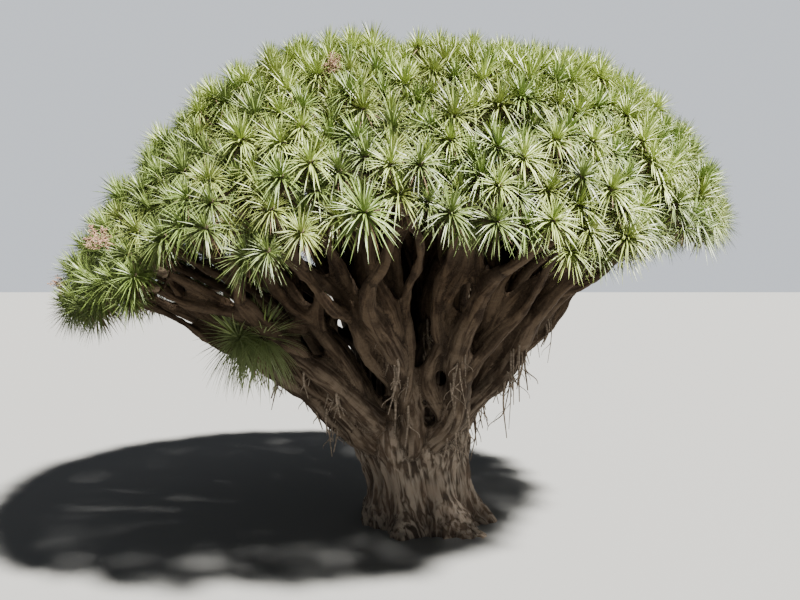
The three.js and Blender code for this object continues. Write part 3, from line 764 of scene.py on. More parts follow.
def panicle(heart, middle, roll):
    """A dried flower head: a stalk with side branches, and finer ones along each."""
    axis = unit(middle - heart)
    tip = middle + axis * PANICLE_SPREAD * PANICLE_TIP
    stalk = bent_path(heart, axis, tip, unit(axis + UP * PANICLE_UPRIGHT), PANICLE_STALK[2])
    paths = [(stalk, np.linspace(*PANICLE_STALK))]
    side = unit(np.cross(axis, UP))
    over = np.cross(axis, side)
    first = PANICLE_STALK[2] // 2
    for i in range(PANICLE_BRANCHES):
        base = stalk[first + i * first // PANICLE_BRANCHES]
        turn = i * PANICLE_TURN
        way = unit(axis * PANICLE_ALONG + side * math.cos(turn) + over * math.sin(turn))
        end = base + way * PANICLE_SPREAD
        branch = bent_path(base, way, end, unit(way - UP * PANICLE_DROOP), PANICLE_BRANCH[2])
        paths.append((branch, np.linspace(*PANICLE_BRANCH)))
        for point in branch[1:]:
            for _ in range(PANICLE_FINE_COUNT):
                aside = direction(360 * next(roll), part_way(PANICLE_FINE_TILTS, next(roll)))
                out = unit(way + aside * PANICLE_FINE_ASIDE)
                fine = bent_path(point, out, point + out * PANICLE_FINE_LENGTH, out, len(PANICLE_FINE))
                paths.append((fine, np.array(PANICLE_FINE)))
    return paths


def flower_heads(rosettes):
    """The stalks of every dried flower head, each from the rosette nearest to it."""
    roll = dice(SEEDS["panicles"])
    heads = []
    for azimuth, elevation, share in PANICLES:
        place = crown_point(direction(azimuth, elevation), share)
        rosette = min(rosettes, key=lambda r: np.linalg.norm(r["heart"] - place))
        heads += panicle(rosette["heart"], place, roll)
    return heads


def grow_limbs(masses):
    """Branches and shoots of every mass, as its limbs and their forks, and all their twigs."""
    branches, twigs = [], []
    roll = dice(SEEDS["shoots"])
    for number, mass in enumerate(masses):
        for limb, heading, part, fork in grow_branches(mass, number):
            branches.append((mass, limb, fork))
            if len(part) >= SHOOT_LEAST:
                part, rest = split(part)
                shoot, rising, low_fork = grow_shoot(mass, rest, len(branches), roll)
                branches.append((mass, shoot, low_fork))
                grow_twigs(shoot.end, rising, rest, twigs)
            grow_twigs(limb.end, heading, part, twigs)
    return branches, twigs


# Wood: every limb as a run of sections, welded into one skin


class Run:
    """A limb's sections: middles, radii and frames that don't twist."""

    def __init__(self, points, radii, cut, sector):
        self.points = points
        self.radii = radii
        self.cut = cut  # length from which the run belongs to its sector's piece
        self.sector = sector
        steps = np.linalg.norm(np.diff(points, axis=0), axis=1)
        self.lengths = np.concatenate([[0], np.cumsum(steps)])
        self.spacing = np.gradient(self.lengths)
        tangents = np.gradient(points, axis=0)
        self.tangents = tangents / np.linalg.norm(tangents, axis=1)[:, None]
        side = np.cross(self.tangents[0], UP)
        side = unit(side) if np.linalg.norm(side) > 1e-3 else np.array([1.0, 0.0, 0.0])
        sides = []
        for tangent in self.tangents:
            side = unit(side - tangent * (side @ tangent))
            sides.append(side)
        self.sides = np.array(sides)
        self.overs = np.cross(self.tangents, self.sides)


def knotted(limb, seed):
    """Middles and radii along a limb, pinched at its knots, and the knots' places."""
    rough = np.array([limb.point(t) for t in np.linspace(0, 1, 25)])
    length = np.linalg.norm(np.diff(rough, axis=0), axis=1).sum()
    ts = np.linspace(0, 1, max(6, round(length / WOOD_STEP)))
    points = np.array([limb.point(t) for t in ts])
    lengths = ts * length
    radii = np.array([limb.radius_at(t) for t in ts])
    roll = dice(seed)
    knots = []
    at = KNOT_SPACING * (KNOT_FIRST + KNOT_CHANCE * next(roll))
    while at < length - KNOT_LAST:
        knots.append(at)
        at += KNOT_SPACING * (KNOT_LEAST + KNOT_CHANCE * next(roll))
    pinch = np.zeros(len(ts))
    for knot in knots:
        pinch += np.exp(-(((lengths - knot) / KNOT_WIDTH) ** 2))
    return points, radii * (1 + KNOT_BULGE - KNOT_PINCH * pinch), knots


def wood_runs(masses, branches):
    """All boughs and branches as runs, with the knot where each leaves the trunk's piece."""
    runs = []
    order = sorted(masses, key=lambda m: m["parent"] is not None)
    for number, mass in enumerate(order):
        points, radii, knots = knotted(mass["bough"], SEEDS["bough_knots"] + number)
        length = np.linalg.norm(np.diff(points, axis=0), axis=1).sum()
        parent = mass["parent"]
        sector = parent["sector"] if parent else int((mass["azimuth"] + SECTOR / 2) % 360 // SECTOR)
        cut = -1.0
        if not parent or mass["fork"] * parent["length"] < parent["cut"]:
            cut = next((k for k in knots if k > TRUNK_SHARE * length), length)
        mass.update(sector=sector, length=length, cut=cut)
        runs.append(Run(points, radii, cut, sector))
    for number, (mass, limb, fork) in enumerate(branches):
        points, radii, knots = knotted(limb, SEEDS["branch_knots"] + number)
        cut = -1.0
        if fork * mass["length"] < mass["cut"]:
            cut = next((k for k in knots if k > BRANCH_CUT_SHARE * mass["length"]), BRANCH_CUT)
        runs.append(Run(points, radii, cut, mass["sector"]))
    return runs


def stacked_rings(rings):
    """Corners and faces of a closed tube through rings of corners."""
    count, sides = rings.shape[:2]
    ring = np.arange(sides)
    onward = np.roll(ring, -1)
    starts = (np.arange(count - 1) * sides)[:, None]
    quads = [starts + ring, starts + onward, starts + sides + onward, starts + sides + ring]
    faces = np.stack(quads, axis=2).reshape(-1, 4).tolist()
    faces.append(ring[::-1].tolist())
    faces.append((ring + (count - 1) * sides).tolist())
    return rings.reshape(-1, 3), faces


def run_tube(run, grow):
    angles = np.arange(TUBE_SIDES) / TUBE_SIDES * TAU
    cosines, sines = np.cos(angles)[None, :, None], np.sin(angles)[None, :, None]
    around = cosines * run.sides[:, None] + sines * run.overs[:, None]
    return stacked_rings(run.points[:, None] + around * (run.radii + grow)[:, None, None])


def trunk_tube(grow):
    heights = np.append(np.arange(-TRUNK_BURIED, TRUNK_TOP, TRUNK_STEP), TRUNK_TOP)
    angles = np.arange(TRUNK_SIDES) / TRUNK_SIDES * TAU
    rings = []
    for height in heights:
        radius = trunk_radius(height, angles) + grow
        lift = grow if height == TRUNK_TOP else 0
        ring = [trunk_shift(height) + np.cos(angles) * radius, np.sin(angles) * radius]
        rings.append(np.stack([*ring, np.full(TRUNK_SIDES, height + lift)], axis=1))
    return stacked_rings(np.array(rings))


def mesh_from(name, corners, faces, edges=()):
    mesh = bpy.data.meshes.new(name)
    mesh.from_pydata(corners.tolist() if isinstance(corners, np.ndarray) else corners, edges, faces)
    mesh.update()
    return mesh


def carry(mesh, label, values):
    """Stores a number or a vector at each corner of a mesh."""
    kind, key = ("FLOAT_VECTOR", "vector") if values.ndim == 2 else ("FLOAT", "value")
    mesh.attributes.new(label, kind, "POINT").data.foreach_set(key, values.ravel())


def show(name, mesh):
    piece = bpy.data.objects.new(name, mesh)
    scene.collection.objects.link(piece)
    return piece


def plain_result(piece):
    """Turns a piece with modifiers into a plain mesh."""
    graph = bpy.context.evaluated_depsgraph_get()
    result = bpy.data.meshes.new_from_object(piece.evaluated_get(graph))
    piece.modifiers.clear()
    piece.data = result
    return piece


def corners_of(mesh):
    flat = np.empty(len(mesh.vertices) * 3)
    mesh.vertices.foreach_get("co", flat)
    return flat.reshape(-1, 3)


def quads_of(mesh):
    flat = np.empty(len(mesh.loops), dtype=np.int32)
    mesh.loops.foreach_get("vertex_index", flat)
    return flat.reshape(-1, 4).astype(np.int64)


def heaped(places, values, size):
    """The sum of the values at each place."""
    return np.stack([np.bincount(places, weights=row, minlength=size) for row in values.T], axis=1)


def normals_of(corners, quads):
    a, b, c, d = (corners[quads[:, k]] for k in range(4))
    facing = np.cross(c - a, d - b)
    total = sum(heaped(quads[:, k], facing, len(corners)) for k in range(4))
    return total / np.maximum(np.linalg.norm(total, axis=1), 1e-12)[:, None]


def smoothed(corners, quads, times):
    """Values at the corners, each moved towards the mean of its neighbours some times over."""
    size = len(corners)
    sides = [(quads[:, k], quads[:, (k + 1) % 4]) for k in range(4)]
    pairs = [pair for a, b in sides for pair in ((a, b), (b, a))]
    count = sum(np.bincount(a, minlength=size) for a, _ in pairs)
    for _ in range(times):
        total = sum(heaped(a, corners[b], size) for a, b in pairs)
        corners = (1 - SMOOTHING) * corners + SMOOTHING * total / count[:, None]
    return corners


def scatter(cells, seed):
    """A number from 0 to 1 for each cell of a lattice."""
    x, y, z = (cells[:, k].astype(np.uint64) for k in range(3))
    low = np.uint64(0xFFFFFFFF)
    mix = (x * np.uint64(73856093)) ^ (y * np.uint64(19349663)) ^ (z * np.uint64(83492791))
    mix = (mix + np.uint64(seed * 2654435761)) & low
    mix = ((mix ^ (mix >> np.uint64(13))) * np.uint64(1274126177)) & low
    mix = ((mix ^ (mix >> np.uint64(16))) * np.uint64(2246822519)) & low
    return (mix ^ (mix >> np.uint64(15))).astype(np.float64) / 0xFFFFFFFF


def noise(points, seed):
    """Smooth seeded noise from 0 to 1."""
    cells = np.floor(points).astype(np.int64)
    part = points - cells
    ease = part * part * (3 - 2 * part)
    total = np.zeros(len(points))
    for corner in itertools.product((0, 1), repeat=3):
        weight = np.prod(np.where(np.array(corner) == 1, ease, 1 - ease), axis=1)
        total += weight * scatter(cells + np.array(corner) + 4096, seed)
    return total


def ridged(points, seed):
    return 1 - np.abs(2 * noise(points, seed) - 1)


def wood_places(corners, runs):
    """For each corner: its nearest limb, its place in it, that limb's radius, and its solitude."""
    height = np.clip(corners[:, 2], 0, TRUNK_TOP)
    across = np.column_stack([corners[:, 0] - trunk_shift(height), corners[:, 1]])
    radius = trunk_radius(height, np.arctan2(across[:, 1], across[:, 0]))
    above = np.maximum(corners[:, 2] - TRUNK_TOP, 0)
    best = np.hypot(np.linalg.norm(across, axis=1), above) - radius
    best = np.where(above > TRUNK_REACH, FAR, best)
    second = np.full(len(corners), FAR)
    owner = np.full(len(corners), -1)
    space = np.column_stack([across, corners[:, 2]])
    girth = radius.copy()
    for number, run in enumerate(runs):
        margin = run.radii.max() + BARK_REACH
        low, high = run.points.min(axis=0) - margin, run.points.max(axis=0) + margin
        near = np.flatnonzero(np.all((corners > low) & (corners < high), axis=1))
        if not len(near):
            continue
        here = corners[near]
        reach = (here**2).sum(axis=1)[:, None] - 2 * here @ run.points.T + (run.points**2).sum(axis=1)
        k = np.argmin(reach, axis=1)
        offset = ((here - run.points[k]) * run.tangents[k]).sum(axis=1) / run.spacing[k]
        place = np.clip(k + np.clip(offset, -0.5, 0.5), 0, len(run.points) - 1.001)
        whole = place.astype(int)
        part = (place - whole)[:, None]

        def between(rows):
            return rows[whole] * (1 - part) + rows[whole + 1] * part

        local = here - between(run.points)
        width = between(run.radii[:, None])[:, 0]
        gap = np.linalg.norm(local, axis=1) - width
        wins = gap < best[near]
        second[near] = np.where(wins, best[near], np.minimum(second[near], gap))
        chosen = near[wins]
        best[chosen] = gap[wins]
        owner[chosen] = number
        girth[chosen] = width[wins]
        x = (local * between(run.sides)).sum(axis=1)
        y = (local * between(run.overs)).sum(axis=1)
        s = between(run.lengths[:, None])[:, 0]
        space[chosen] = np.column_stack([x, y, s])[wins]
    return owner, space, girth, second - best


def relief(space, owner, girth, lonely):
    """How far the bark stands out: ridges and lumps, and rings on thin wood; and the painted shade of its
    grooves and of the places where limbs meet.
    """
    x, y, s = space.T
    apart = (owner + 2) * PATTERN_SHIFT
    across, along = BEND_SCALES
    bends = np.column_stack([x * across + apart, y * across, s * along])
    x = x + (noise(bends, BEND_SEEDS[0]) - 0.5) * BARK_BEND
    y = y + (noise(bends + BEND_SHIFT, BEND_SEEDS[1]) - 0.5) * BARK_BEND

    def marks(kind, pattern):
        width, length, seed = BARK_MARKS[kind]
        return pattern(np.column_stack([x / width + apart, y / width, s / length]), seed)

    least, more = THICK_WOOD
    thick = np.clip((girth - least) / more, 0, 1)
    rib, strand, thread = (marks(kind, ridged) for kind in ("ribs", "strands", "threads"))
    strand = strand**STRAND_SHARPNESS
    height = (rib - 0.5) * RIB_HEIGHT * thick**2
    for kind, mark in {"strands": strand, "threads": thread, "lumps": marks("lumps", noise)}.items():
        thin, thicker = MARK_HEIGHTS[kind]
        height += (mark - 0.5) * (thin + thicker * thick)
    height += (marks("rings", noise) - 0.5) * RING_HEIGHT * (1 - thick)
    apartness = np.clip(lonely / LONELY_BARK, LEAST_RELIEF, 1)
    by_rib, by_strand, by_thread = PAINTED_SHADE_SHARES
    # painted shade: darker in the grooves between ribs, strands and threads, and where two limbs meet
    painted_crease_shade = 1 - (by_rib * rib + by_strand * strand + by_thread * thread) + PAINTED_JOINT_SHADE * (1 - apartness)
    return height * apartness, np.clip(painted_crease_shade, 0, 1)


def youth_of(corners, girth):
    """How young the bark looks, from 0 to 1: more so on slim wood and higher up. Its young colour there is
    darkened as painted shade under the crown.
    """
    stout, slimmer = SLIM_WOOD
    low, higher = YOUNG_WOOD
    by_slimness, by_height = YOUTH_SHARES
    slimness = np.clip((stout - girth) / slimmer, 0, 1)
    return slimness * by_slimness + np.clip((corners[:, 2] - low) / higher, 0, 1) * by_height


def weld_wood(runs):
    """One skin over the trunk and all limbs, smooth where they meet."""
    corners, faces, base = [], [], 0
    for tube_corners, tube_faces in [trunk_tube(WELD)] + [run_tube(run, WELD) for run in runs]:
        corners.append(tube_corners)
        faces += [[i + base for i in face] for face in tube_faces]
        base += len(tube_corners)
    skin = show("skin", mesh_from("skin", np.vstack(corners), faces))
    remesh = skin.modifiers.new("weld", "REMESH")
    remesh.mode = "VOXEL"
    remesh.voxel_size = SKIN_GRAIN
    mesh = plain_result(skin).data
    corners, quads = corners_of(mesh), quads_of(mesh)
    bpy.data.objects.remove(skin)
    corners = smoothed(corners, quads, SKIN_SMOOTHINGS)
    corners = corners - normals_of(corners, quads) * WELD
    corners = smoothed(corners, quads, 1)
    owner, space, girth, lonely = wood_places(corners, runs)
    height, painted_crease_shade = relief(space, owner, girth, lonely)
    corners = corners + normals_of(corners, quads) * height[:, None]
    return corners, quads, owner, space, girth, painted_crease_shade


def drop_crumbs(work):
    """Removes the parts of a mesh that are too small to be wood."""
    left = dict.fromkeys(work.verts)  # in a fixed order, so that each run numbers the faces alike
    while left:
        start = next(iter(left))
        del left[start]
        part, edge = [start], [start]
        while edge:
            vert = edge.pop()
            for link in vert.link_edges:
                other = link.other_vert(vert)
                if other in left:
                    del left[other]
                    part.append(other)
                    edge.append(other)
        if len(part) < CRUMB:
            bmesh.ops.delete(work, geom=part, context="VERTS")


def cap_rims(work):
    """Closes each rim that is still open with a fan round its middle."""
    onward = {}
    for edge in work.edges:
        if edge.is_boundary:
            loop = edge.link_loops[0]
            onward.setdefault(loop.link_loop_next.vert, []).append(loop.vert)
    path = []
    while onward:
        if not path:
            path.append(next(iter(onward)))
        after = onward[path[-1]].pop()
        if not onward[path[-1]]:
            del onward[path[-1]]
        if after not in path:
            path.append(after)
            continue
        ring = path[path.index(after):]
        del path[path.index(after) + 1:]
        if len(path) == 1 and after not in onward:
            path.clear()
        middle = work.verts.new(np.mean([vert.co for vert in ring], axis=0))
        for first, second in zip(ring, ring[1:] + ring[:1]):
            work.faces.new((first, second, middle))


def closed_part(name, corners, quads, attributes, cut_ground):
    """A closed piece from some of the skin's faces, with its open ends capped."""
    used, faces = np.unique(quads, return_inverse=True)
    mesh = mesh_from(name, corners[used], faces.reshape(-1, 4).tolist())
    for label, values in attributes.items():
        carry(mesh, label, values[used])
    mesh.polygons.foreach_set("use_smooth", [True] * len(mesh.polygons))
    work = bmesh.new()
    work.from_mesh(mesh)
    if cut_ground:
        parts = work.verts[:] + work.edges[:] + work.faces[:]
        bmesh.ops.bisect_plane(work, geom=parts, plane_co=(0, 0, 0), plane_no=(0, 0, -1), clear_outer=True)
    drop_crumbs(work)
    rims = [edge for edge in work.edges if edge.is_boundary]
    bmesh.ops.holes_fill(work, edges=rims, sides=0)
    cap_rims(work)
    for edge in rims:
        edge.smooth = False
    work.to_mesh(mesh)
    work.free()
    return show(name, mesh)


# Node trees: leaves in rosettes, and stalks along paths

SOCKETS = {float: "Float", int: "Int"}
BLADE_INPUTS = ("Leaf Length", "Leaf Width", "Fold", "Arch", "Rows")


def make_group(name, kind, inputs, outputs):
    """A node group, and the sockets inside it. An input has a kind, or a number to start from."""
    group = bpy.data.node_groups.new(name, kind)
    for label, value in inputs.items():
        socket = value if isinstance(value, str) else SOCKETS[type(value)]
        item = group.interface.new_socket(label, in_out="INPUT", socket_type=f"NodeSocket{socket}")
        if socket != value:
            item.default_value = value
    for label, socket in outputs.items():
        group.interface.new_socket(label, in_out="OUTPUT", socket_type=f"NodeSocket{socket}")
    return group, group.nodes.new("NodeGroupInput").outputs, group.nodes.new("NodeGroupOutput").inputs


def feed(group, socket, value):
    """A socket is linked, and anything else is set."""
    if isinstance(value, bpy.types.NodeSocket):
        group.links.new(value, socket)
    elif value is not None:
        socket.default_value = value


def put(group, kind, values=(), **settings):
    """Adds a node, and feeds its inputs in order or by name."""
    node = group.nodes.new(kind)
    for label, value in settings.items():
        setattr(node, label, value)
    if isinstance(values, dict):
        for label, value in values.items():
            feed(group, next(s for s in node.inputs if label in (s.identifier, s.name)), value)
    else:
        for socket, value in zip(node.inputs, values):
            feed(group, socket, value)
    return node


def calc(group, operation, *values):
    return put(group, "ShaderNodeMath", values, operation=operation).outputs[0]


def product(group, *values):
    """The product of two or more numbers."""
    whole = values[0]
    for value in values[1:]:
        whole = calc(group, "MULTIPLY", whole, value)
    return whole


def vector_of(group, *values):
    return put(group, "ShaderNodeCombineXYZ", values).outputs[0]


def parts_of(group, vector):
    return put(group, "ShaderNodeSeparateXYZ", [vector]).outputs


def stored(group, geometry, label, value, kind="FLOAT"):
    values = {"Geometry": geometry, "Name": label, "Value": value}
    return put(group, "GeometryNodeStoreNamedAttribute", values, data_type=kind, domain="POINT").outputs[0]


def read(group, label, kind="FLOAT"):
    return put(group, "GeometryNodeInputNamedAttribute", {"Name": label}, data_type=kind).outputs[0]


def varied(group, low, high, seed):
    values = {"Min_001": low, "Max_001": high, "Seed": seed}
    return put(group, "FunctionNodeRandomValue", values, data_type="FLOAT").outputs[1]


def ended(group, geometry, material, result):
    """The tree, with the geometry in its material as the result."""
    values = {"Geometry": geometry, "Material": material}
    group.links.new(put(group, "GeometryNodeSetMaterial", values).outputs[0], result)
    return group


def leaf_blade_tree():
    """A sword leaf along +Z, folded along its middle, with its upper side towards -X."""
    inputs = {label: CROWN_LEAVES[label] for label in BLADE_INPUTS}
    group, given, result = make_group("Leaf blade", "GeometryNodeTree", inputs, {"Leaf": "Geometry"})
    grid = put(group, "GeometryNodeMeshGrid", [2.0, 1.0, 3, given["Rows"]])
    x, y, _ = parts_of(group, put(group, "GeometryNodeInputPosition").outputs[0])
    along = calc(group, "ADD", y, 0.5)
    squared = product(group, along, along)
    taper = calc(group, "SUBTRACT", 1.0, squared)
    clasp = calc(group, "MINIMUM", product(group, along, LEAF_CLASP), 1.0)
    base = calc(group, "MULTIPLY_ADD", clasp, 1 - LEAF_FOOT, LEAF_FOOT)
    half = product(group, taper, base, given["Leaf Width"])
    edge = product(group, x, half, 0.5)
    folded = product(group, calc(group, "ABSOLUTE", edge), given["Fold"])
    bent = product(group, squared, given["Leaf Length"], given["Arch"])
    target = vector_of(
        group,
        calc(group, "SUBTRACT", bent, folded),
        product(group, edge, -1.0),
        product(group, along, given["Leaf Length"]),
    )
    marked = stored(group, grid.outputs[0], "along", along)
    placed = put(group, "GeometryNodeSetPosition", {"Geometry": marked, "Position": target})
    merged = put(group, "GeometryNodeMergeByDistance", {"Geometry": placed.outputs[0], "Distance": 0.0005})
    group.links.new(merged.outputs[0], result["Leaf"])
    return group


def leaf_ways(group, given, number, age, seeds):
    """Turns each leaf away from the axis of its rosette, by its age and a little by chance."""
    inner = calc(group, "COSINE", given["Inner Angle"])
    outer = calc(group, "COSINE", given["Outer Angle"])
    level = calc(group, "MULTIPLY_ADD", calc(group, "SUBTRACT", outer, inner), age, inner)
    chance = varied(group, -POLAR_CHANCE, POLAR_CHANCE, seeds[0])
    polar = calc(group, "ADD", calc(group, "ARCCOSINE", level), chance)
    polar = product(group, polar, read(group, "spread"))
    golden = math.pi * (3 - math.sqrt(5))
    turn = calc(group, "MULTIPLY_ADD", number, golden, read(group, "spin"))
    turn = calc(group, "ADD", turn, varied(group, -TURN_CHANCE, TURN_CHANCE, seeds[1]))
    axis = {"Vector": read(group, "axis", "FLOAT_VECTOR")}
    upright = put(group, "FunctionNodeAlignRotationToVector", axis, axis="Z").outputs[0]
    tilt = put(group, "FunctionNodeEulerToRotation", [vector_of(group, 0.0, polar, turn)]).outputs[0]
    return put(group, "FunctionNodeRotateRotation", [upright, tilt], rotation_space="LOCAL").outputs[0]


def hung(group, leaves, droop):
    """Leaves that hang, the more so the flatter, longer and older they are."""
    way_x, way_y, _ = parts_of(group, read(group, "reach", "FLOAT_VECTOR"))
    flat = calc(group, "MULTIPLY_ADD", way_x, way_x, product(group, way_y, way_y))
    lever = product(group, calc(group, "SQRT", flat), read(group, "span"))
    weight = product(group, calc(group, "POWER", read(group, "along"), SAG_POWER), lever)
    older = calc(group, "MULTIPLY_ADD", read(group, "age"), 1 - SAG_YOUNG, SAG_YOUNG)
    sag = product(group, weight, older, droop)
    back = product(group, sag, SAG_BACK)
    shift = [product(group, way_x, back), product(group, way_y, back), product(group, sag, -1.0)]
    values = {"Geometry": leaves, "Offset": vector_of(group, *shift)}
    return put(group, "GeometryNodeSetPosition", values).outputs[0]


def rosette_tree(blade):
    """Leaves round the heart of each rosette, the older ones further from its axis and hanging."""
    inputs = {"Hearts": "Geometry"} | CROWN_LEAVES | {"Seed": 1, "Material": "Material"}
    group, given, result = make_group("Leaf rosettes", "GeometryNodeTree", inputs, {"Foliage": "Geometry"})
    seeds = [calc(group, "ADD", given["Seed"], float(k)) for k in range(3)]
    values = {"Geometry": given["Hearts"], "Amount": given["Leaves"]}
    points, number = put(group, "GeometryNodeDuplicateElements", values, domain="POINT").outputs
    age = calc(group, "DIVIDE", calc(group, "ADD", number, 0.5), given["Leaves"])
    aim = leaf_ways(group, given, number, age, seeds)
    growth = calc(group, "SUBTRACT", 1.0, given["Shortest"])
    grown = calc(group, "MULTIPLY_ADD", growth, calc(group, "POWER", age, GROWTH_POWER), given["Shortest"])
    size = product(group, grown, read(group, "size"), varied(group, *SIZE_CHANCE, seeds[2]))
    reach = put(group, "FunctionNodeRotateVector", [(0, 0, 1), aim]).outputs[0]
    points = stored(group, points, "reach", reach, "FLOAT_VECTOR")
    points = stored(group, points, "age", age)
    points = stored(group, points, "span", product(group, size, given["Leaf Length"]))
    leaf = put(group, "GeometryNodeGroup", {label: given[label] for label in BLADE_INPUTS}, node_tree=blade)
    scale = vector_of(group, read(group, "size"), read(group, "size"), size)
    values = {"Points": points, "Instance": leaf.outputs[0], "Rotation": aim, "Scale": scale}
    instances = put(group, "GeometryNodeInstanceOnPoints", values)
    real = put(group, "GeometryNodeRealizeInstances", [instances.outputs[0]]).outputs[0]
    return ended(group, hung(group, real, given["Droop"]), given["Material"], result["Foliage"])


def stalk_tree():
    """Stalks along the edges of a mesh, as thick as its girth attribute says."""
    inputs = {"Paths": "Geometry", "Sides": 6, "Thickness": 1.0, "Material": "Material"}
    group, given, result = make_group("Stalks", "GeometryNodeTree", inputs, {"Stalks": "Geometry"})
    curves = put(group, "GeometryNodeMeshToCurve", [given["Paths"]]).outputs[0]
    ring = put(group, "GeometryNodeCurvePrimitiveCircle", {"Resolution": given["Sides"], "Radius": 1.0})
    girth = product(group, read(group, "girth"), given["Thickness"])
    values = {"Curve": curves, "Profile Curve": ring.outputs[0], "Scale": girth, "Fill Caps": True}
    tubes = put(group, "GeometryNodeCurveToMesh", values)
    smooth = put(group, "GeometryNodeSetShadeSmooth", [tubes.outputs[0]])
    real = put(group, "GeometryNodeRealizeInstances", [smooth.outputs[0]])
    return ended(group, real.outputs[0], given["Material"], result["Stalks"])


def grow_piece(name, mesh, tree, values):
    """Runs a geometry tree on a mesh and keeps its plain result as a piece."""
    piece = show(name, mesh)
    modifier = piece.modifiers.new(tree.name, "NODES")
    modifier.node_group = tree
    for item in tree.interface.items_tree:
        if item.name in values:
            modifier[item.identifier] = values[item.name]
    plain_result(piece)
    for label in ("along", "reach", "age", "span", "axis", "size", "spin", "spread", "girth"):
        layer = piece.data.attributes.get(label)
        if layer:
            piece.data.attributes.remove(layer)
    return piece


def hearts_mesh(name, rosettes):
    """The hearts of some rosettes, as points that carry what is their own."""
    mesh = mesh_from(name, [tuple(r["heart"]) for r in rosettes], [])
    for label in ("axis", "size", "spin", "spread"):
        carry(mesh, label, np.array([r[label] for r in rosettes]))
    return mesh


def paths_mesh(name, paths):
    """Paths as chains of edges that carry their girth."""
    points = np.vstack([path for path, _ in paths])
    edges, base = [], 0
    for path, _ in paths:
        edges += [(base + i, base + i + 1) for i in range(len(path) - 1)]
        base += len(path)
    mesh = mesh_from(name, points, [], edges)
    carry(mesh, "girth", np.concatenate([girth for _, girth in paths]))
    return mesh


# Finishes


def material_of(name, roughness=0.5, gloss=0.5):
    material = bpy.data.materials.new(name)
    material.use_nodes = True
    tree = material.node_tree
    shader = tree.nodes["Principled BSDF"]
    shader.inputs["Roughness"].default_value = roughness
    shader.inputs["Specular IOR Level"].default_value = gloss
    return material, tree, shader


def blended(tree, share, first, second):
    """A colour between two, by a share from 0 to 1."""
    first, second = ((*c, 1) if isinstance(c, tuple) else c for c in (first, second))
    values = {"Factor_Float": share, "A_Color": first, "B_Color": second}
    node = put(tree, "ShaderNodeMix", values, data_type="RGBA")
    return next(s for s in node.outputs if s.identifier == "Result_Color")


def ranged(tree, value, *limits):
    return put(tree, "ShaderNodeMapRange", [value, *limits]).outputs[0]


def carried(tree, label):
    """An attribute that the mesh carries."""
    return put(tree, "ShaderNodeAttribute", attribute_name=label).outputs


def object_place(tree):
    return put(tree, "ShaderNodeTexCoord").outputs["Object"]


def clouds(tree, place, scale, detail, **more):
    """Soft noise from 0 to 1."""
    values = {"Vector": place, "Scale": scale, "Detail": detail} | more
    return put(tree, "ShaderNodeTexNoise", values).outputs["Fac"]


def bump_by(tree, shader, height, strength, distance):
    values = {"Strength": strength, "Distance": distance, "Height": height}
    tree.links.new(put(tree, "ShaderNodeBump", values).outputs[0], shader.inputs["Normal"])


def fibre_group():
    """Fibres stretched along a limb: a fine height, and a broad mask of the strands."""
    inputs = {"Space": "Vector", "Fibre Width": 0.012, "Strand Width": 0.06, "Stretch": 7.0}
    outputs = {"Height": "Float", "Strands": "Float"}
    group, given, result = make_group("Bark fibres", "ShaderNodeTree", inputs, outputs)
    x, y, s = parts_of(group, given["Space"])
    for label, width, detail in (("Height", "Fibre Width", 3.0), ("Strands", "Strand Width", 2.0)):
        wide = given[width]
        long = product(group, wide, given["Stretch"])
        place = [calc(group, "DIVIDE", *pair) for pair in ((x, wide), (y, wide), (s, long))]
        fibres = clouds(group, vector_of(group, *place), 1.0, detail, Distortion=FIBRE_BEND)
        group.links.new(fibres, result[label])
    return group


def scar_group():
    """The rings that fallen leaves leave round a limb."""
    inputs = {"Space": "Vector", "Spacing": 0.03, "Wobble": 0.5}
    group, given, result = make_group("Leaf scars", "ShaderNodeTree", inputs, {"Height": "Float"})
    x, y, s = parts_of(group, given["Space"])
    bumps = clouds(group, given["Space"], RING_WAVES, 2.0)
    sway = product(group, given["Wobble"], RING_WAVES)
    wavy = calc(group, "MULTIPLY_ADD", bumps, sway, calc(group, "DIVIDE", s, given["Spacing"]))
    place = vector_of(group, wavy, product(group, x, RING_CHANGE), product(group, y, RING_CHANGE))
    group.links.new(clouds(group, place, 1.0, 1.0), result["Height"])
    return group


def leaf_wax_group():
    """Waxy patches and fine streaks on leaves."""
    inputs = {"Place": "Vector", "Dull": 0.6, "Waxy": 0.4}
    outputs = {"Roughness": "Float", "Height": "Float"}
    group, given, result = make_group("Leaf wax", "ShaderNodeTree", inputs, outputs)
    patches = clouds(group, given["Place"], **WAX_PATCHES)
    share = ranged(group, patches, *WAX_RANGE, given["Waxy"], given["Dull"])
    group.links.new(share, result["Roughness"])
    group.links.new(clouds(group, given["Place"], **WAX_STREAKS), result["Height"])
    return group


